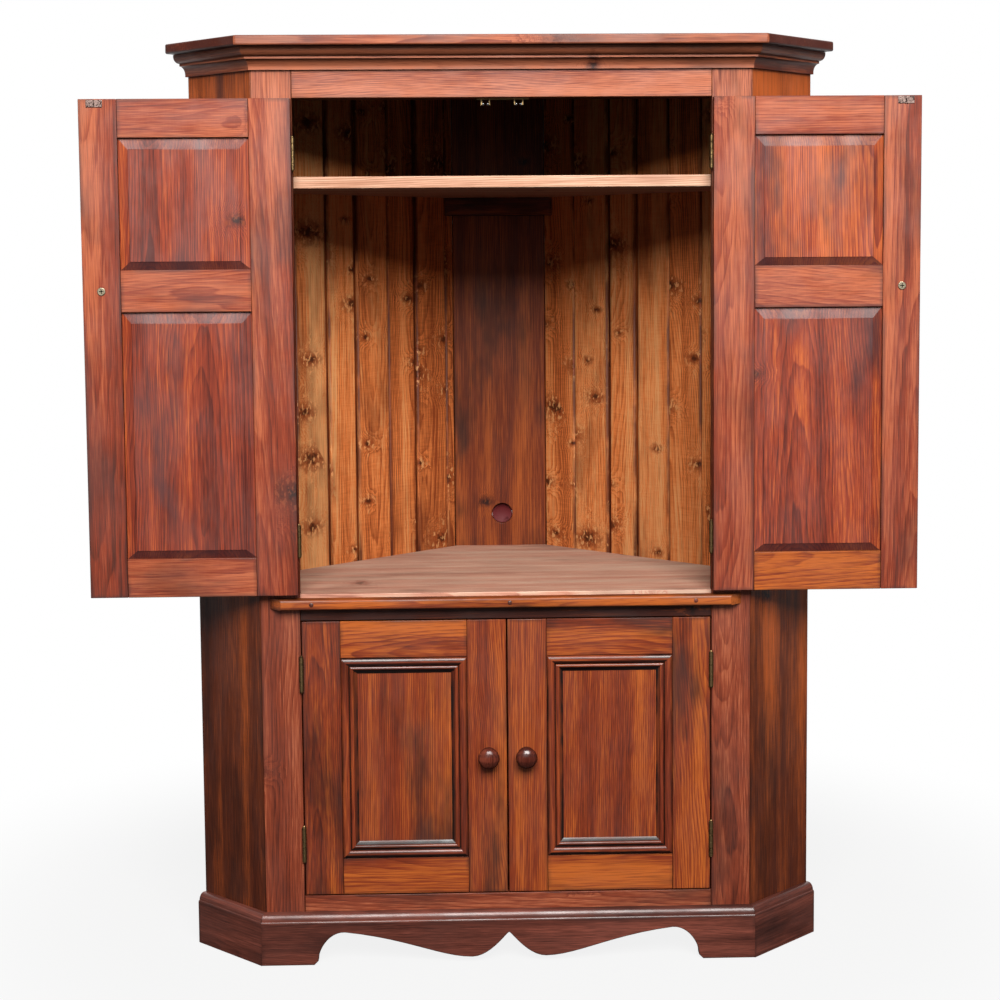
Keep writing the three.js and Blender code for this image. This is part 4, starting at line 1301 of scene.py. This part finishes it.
# %% Knob and strike
def knob(x, z):
    """A turned knob on the outer face, with a dome, a hollow neck and a collar."""
    dome = arc((0, 0.025), 0.023, 0.013, 90, -90, 12)
    under = arc((0.0112, 0.025), 0.0118, 0.0155, 0, -90, 10)
    collar = arc((0.0165, 0.0030), 0.0025, 0.0028, 90, -90, 6)
    profile = [*dome, *under[1:], (0.0112, 0.0066), *collar, (0.019, JOINT), (0, JOINT)]
    return grained(aimed(turned(profile, 64), (x, OUTER, z), (0, -1, 0)), "upright")


def strike_part(x, z, half_width, half_height, reach, eased):
    """A block that stands on the inner face."""
    low = (x - half_width, INNER + JOINT, z - half_height)
    return ease(box_mesh(low, (x + half_width, low[1] + reach, z + half_height)), eased)


def strike(x, z):
    """A small plate on the inner face, with two screws and a tongue that enters the catch."""
    parts = [
        strike_part(x, z, 0.017, 0.0075, 0.0015, 0.0005),
        strike_part(x, z, 0.001, 0.004, 0.009, 0.0004),
    ]
    for way in (-1, 1):
        head = screw_head(*SCREWS["strike"])
        parts.append(aimed(head, (x + way * 0.0105, INNER + JOINT + 0.0013, z), (0, 1, 0)))
    return parts


test = strike(0, 0)
print("a strike has", len(test), "parts")
for part in test:
    part.free()

# %% Hinge
BARREL, CHAMFERED, KNUCKLES, KNUCKLE_GAP = 0.0047, 0.0043, 5, 0.0004
LEAF_BACK, LEAF_FRONT, LEAF_EASED = 0.023, 0.0053, 0.0003
TIP = [
    (0, 0.0040), (0.0014, 0.0037), (0.0024, 0.0026), (0.0028, 0.0012), (0.0022, 0),
    (0.0022, -0.001), (0, -0.001),
]


def hinge_leaf(side, low, length, odd):
    """A leaf beside the pin, with its share of five knuckles and three screws."""
    near, far = side * 0.001, side * 0.003
    leaf = box_mesh((near, LEAF_FRONT, low), (far, LEAF_BACK, low + length))
    parts = [ease(leaf, LEAF_EASED)]
    pitch = length / KNUCKLES
    for count in (0, 2, 4) if odd else (1, 3):
        start, end = low + count * pitch, low + (count + 1) * pitch - KNUCKLE_GAP
        parts.append(ease(box_mesh((near, 0, start), (far, 0.0056, end)), LEAF_EASED))
        long = end - start
        barrel = [
            (0, 0), (CHAMFERED, 0), (BARREL, 0.0004), (BARREL, long - 0.0004),
            (CHAMFERED, long), (0, long),
        ]
        parts.append(moved(turned(barrel, 28), Matrix.Translation((0, 0, start))))
    if odd:
        for end, way in ((low, -1), (low + length, 1)):
            parts.append(aimed(turned(TIP, 24), (0, 0, end - HAIR * way), (0, 0, way)))
    for share, back in ((0.16, 0.0125), (0.5, 0.0175), (0.84, 0.0125)):
        head = screw_head(*SCREWS["hinge"])
        parts.append(aimed(head, (near, back, low + share * length), (-side, 0, 0)))
    return parts


print("a hinge is", round(2 * BARREL * 1000, 1), "mm thick at its pin")

# %% [markdown]
# ## Putting the doors together
#
# The glued boards of a door are one object, apart from the foot rail of the upper right door,
# which has the stain of the lower doors. `TONES` gives a door's hinge stile, its meeting stile
# and its rails from the bottom up, and `PANEL_TONES` its panels from the top down. Painted light
# makes the stiles of the upper doors paler with height, by an amount given with each kind of door.

# %% Woodwork of a door
TONES = {
    "upper_left_door": (-0.2, 0.2, -1.9, -1.8, -1.4),
    "upper_right_door": (-0.2, -0.1, -2.6, -1.2, -1.4),
    "lower_left_door": (1.6, 0.0, -1.6, -2.2),
    "lower_right_door": (0.0, -0.2, -2.4, 0.4),
}
PANEL_TONES = {
    "upper_left_door": (1.4, 2.2), "upper_right_door": (-0.8, 1.7),
    "lower_left_door": (0.2,), "lower_right_door": (0.2,),
}
EVEN_HEIGHT = 1.4


def door_boards(door, size, openings):
    """Two stiles, and the rails between them from the bottom up."""
    low, high = (corner.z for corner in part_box(f"{door}_frame"))
    stem, last = size["hinge_stile"], size["meeting_stile"]
    # On the upper doors the stiles' tone is painted light, paler towards the top
    stiles = [
        board(
            (left, OUTER, low), (right, INNER, high), "upright",
            tone=lambda co, tone=tone: tone + size["painted_top_light"] * (EVEN_HEIGHT - co.z),
        )
        for left, right, tone in zip((EDGE, last), (stem, END), TONES[door])
    ]
    levels = [low, *(z for opening in reversed(openings) for z in opening[2:]), high]
    rails = [
        board((stem + HAIR, OUTER, under), (last - HAIR, INNER, over), "level", tone=tone)
        for under, over, tone in zip(levels[::2], levels[1::2], TONES[door][2:])
    ]
    return stiles, rails


def woodwork(level, word, side):
    """The panels, boards and mouldings of one door."""
    door, size, place = f"{level}_{word}_door", DOORS[level], DOOR_PLACE[level, side]
    openings = []
    for panel, tone in zip(size["panels"], PANEL_TONES[door]):
        low, high = (corner.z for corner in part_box(f"{door}_{panel}"))
        opening = (size["hinge_stile"], size["meeting_stile"], low + TONGUE, high - TONGUE)
        fielded = raised_panel(*opening, tone)
        piece(f"{door}_fielded_{panel}", door, size["panel"], [fielded], place, [f"{door}_{panel}"])
        openings.append(opening)
    stiles, rails = door_boards(door, size, openings)
    if door == "upper_right_door":
        piece(f"{door}_foot_rail", door, "lower_door", [rails.pop(0)], place)
    piece(f"{door}_boards", door, size["finish"], stiles + rails, place, [f"{door}_frame"])
    sticks = [run for opening in openings for run in planted(*opening)]
    stands_for = [f"{door}_moulding"] if level == "lower" else []
    piece(f"{door}_mouldings", door, "moulding", sticks, place, stands_for)


print("tones for", ", ".join(TONES))

# %% Fittings of a door, and the doors
KNOB_X, STRIKE_X, STRIKE_DROP = 0.3995, 0.405, 0.012


def fittings(level, word, side):
    """The knob with its screw, the strike and the two hinges of one door."""
    door, place, length = f"{level}_{word}_door", DOOR_PLACE[level, side], DOORS[level]["leaf"]
    grip_low, grip_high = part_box(f"{door}_knob")
    knob_z = (grip_low.z + grip_high.z) / 2
    piece(f"{door}_turned_knob", door, "knob", [knob(KNOB_X, knob_z)], place, [f"{door}_knob"])
    head = aimed(screw_head(*SCREWS["knob"]), (KNOB_X, INNER, knob_z), (0, 1, 0))
    piece(f"{door}_knob_screw", door, "screw", [head], place)
    if level == "upper":
        parts = strike(STRIKE_X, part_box("top_rail")[0].z - STRIKE_DROP)
        piece(f"{door}_strike_plate", door, "strike", parts, place, [f"{door}_strike"])
    for end in ("top", "bottom"):
        hinge = f"{level}_{word}_{end}_hinge"
        case_leaf, door_leaf = f"{hinge}_case_leaf", f"{hinge}_door_leaf"
        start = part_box(door_leaf)[0].z
        leaf = hinge_leaf(1, start, length, False)
        piece(f"{door_leaf}_brass", door, "brass", leaf, place, [door_leaf])
        leaf = hinge_leaf(-1, start, length, True)
        piece(f"{case_leaf}_brass", "case", "brass", leaf, DOOR_PLACE["lower", side], [case_leaf])


for level in DOORS:
    for word, side in SIDES:
        woodwork(level, word, side)
        fittings(level, word, side)
print(len(made), "pieces")

# %% [markdown]
# ## Ball catch
#
# A brass plate under the top rail carries two pairs of sprung balls between small cheeks. The
# tongue of each strike is held between the two balls of a pair.

# %% Ball catch
PLATE_HALF, PLATE_THICK = 0.057, 0.0025
PLATE_FRONT, PLATE_BACK = 0.0256, 0.0436
PAIRS, BALL_ASIDE, BALL_RADIUS = (-0.035, 0.035), 0.00515, 0.00375
BALL_DEPTH, BALL_HEIGHT = 0.0294, 1.844
catch_low, catch_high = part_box("ball_catch")
plate_low = catch_high.z - PLATE_THICK
plate = box_mesh(
    (-PLATE_HALF, PLATE_FRONT, plate_low), (PLATE_HALF, PLATE_BACK, catch_high.z)
)
parts, balls = [ease(plate, 0.0006)], []
for centre in PAIRS:
    for way in (-1, 1):
        x = centre + way * BALL_ASIDE
        ball = bmesh.new()
        spot = Matrix.Translation((x, BALL_DEPTH, BALL_HEIGHT))
        bmesh.ops.create_uvsphere(
            ball, u_segments=24, v_segments=14, radius=BALL_RADIUS, matrix=spot
        )
        balls.append(soften(ball, 60))
        low = (x + way * 0.0018, PLATE_FRONT + 0.0006, catch_low.z + 0.001)
        high = (x + way * 0.0050, 0.0345, plate_low + 0.0005)
        parts.append(ease(box_mesh(low, high), 0.0006))
    head = screw_head(*SCREWS["catch"])
    parts.append(aimed(head, (centre * 0.35, 0.0346, plate_low + 0.0002), (0, 0, -1)))
piece("catch_plate", "case", "brass", parts, CASE, ["ball_catch"])
piece("catch_balls", "case", "steel", balls, CASE)
print(len(made), "pieces")

# %% Count the triangles
print("triangles", sum(len(p.vertices) - 2 for thing in made for p in thing.data.polygons))
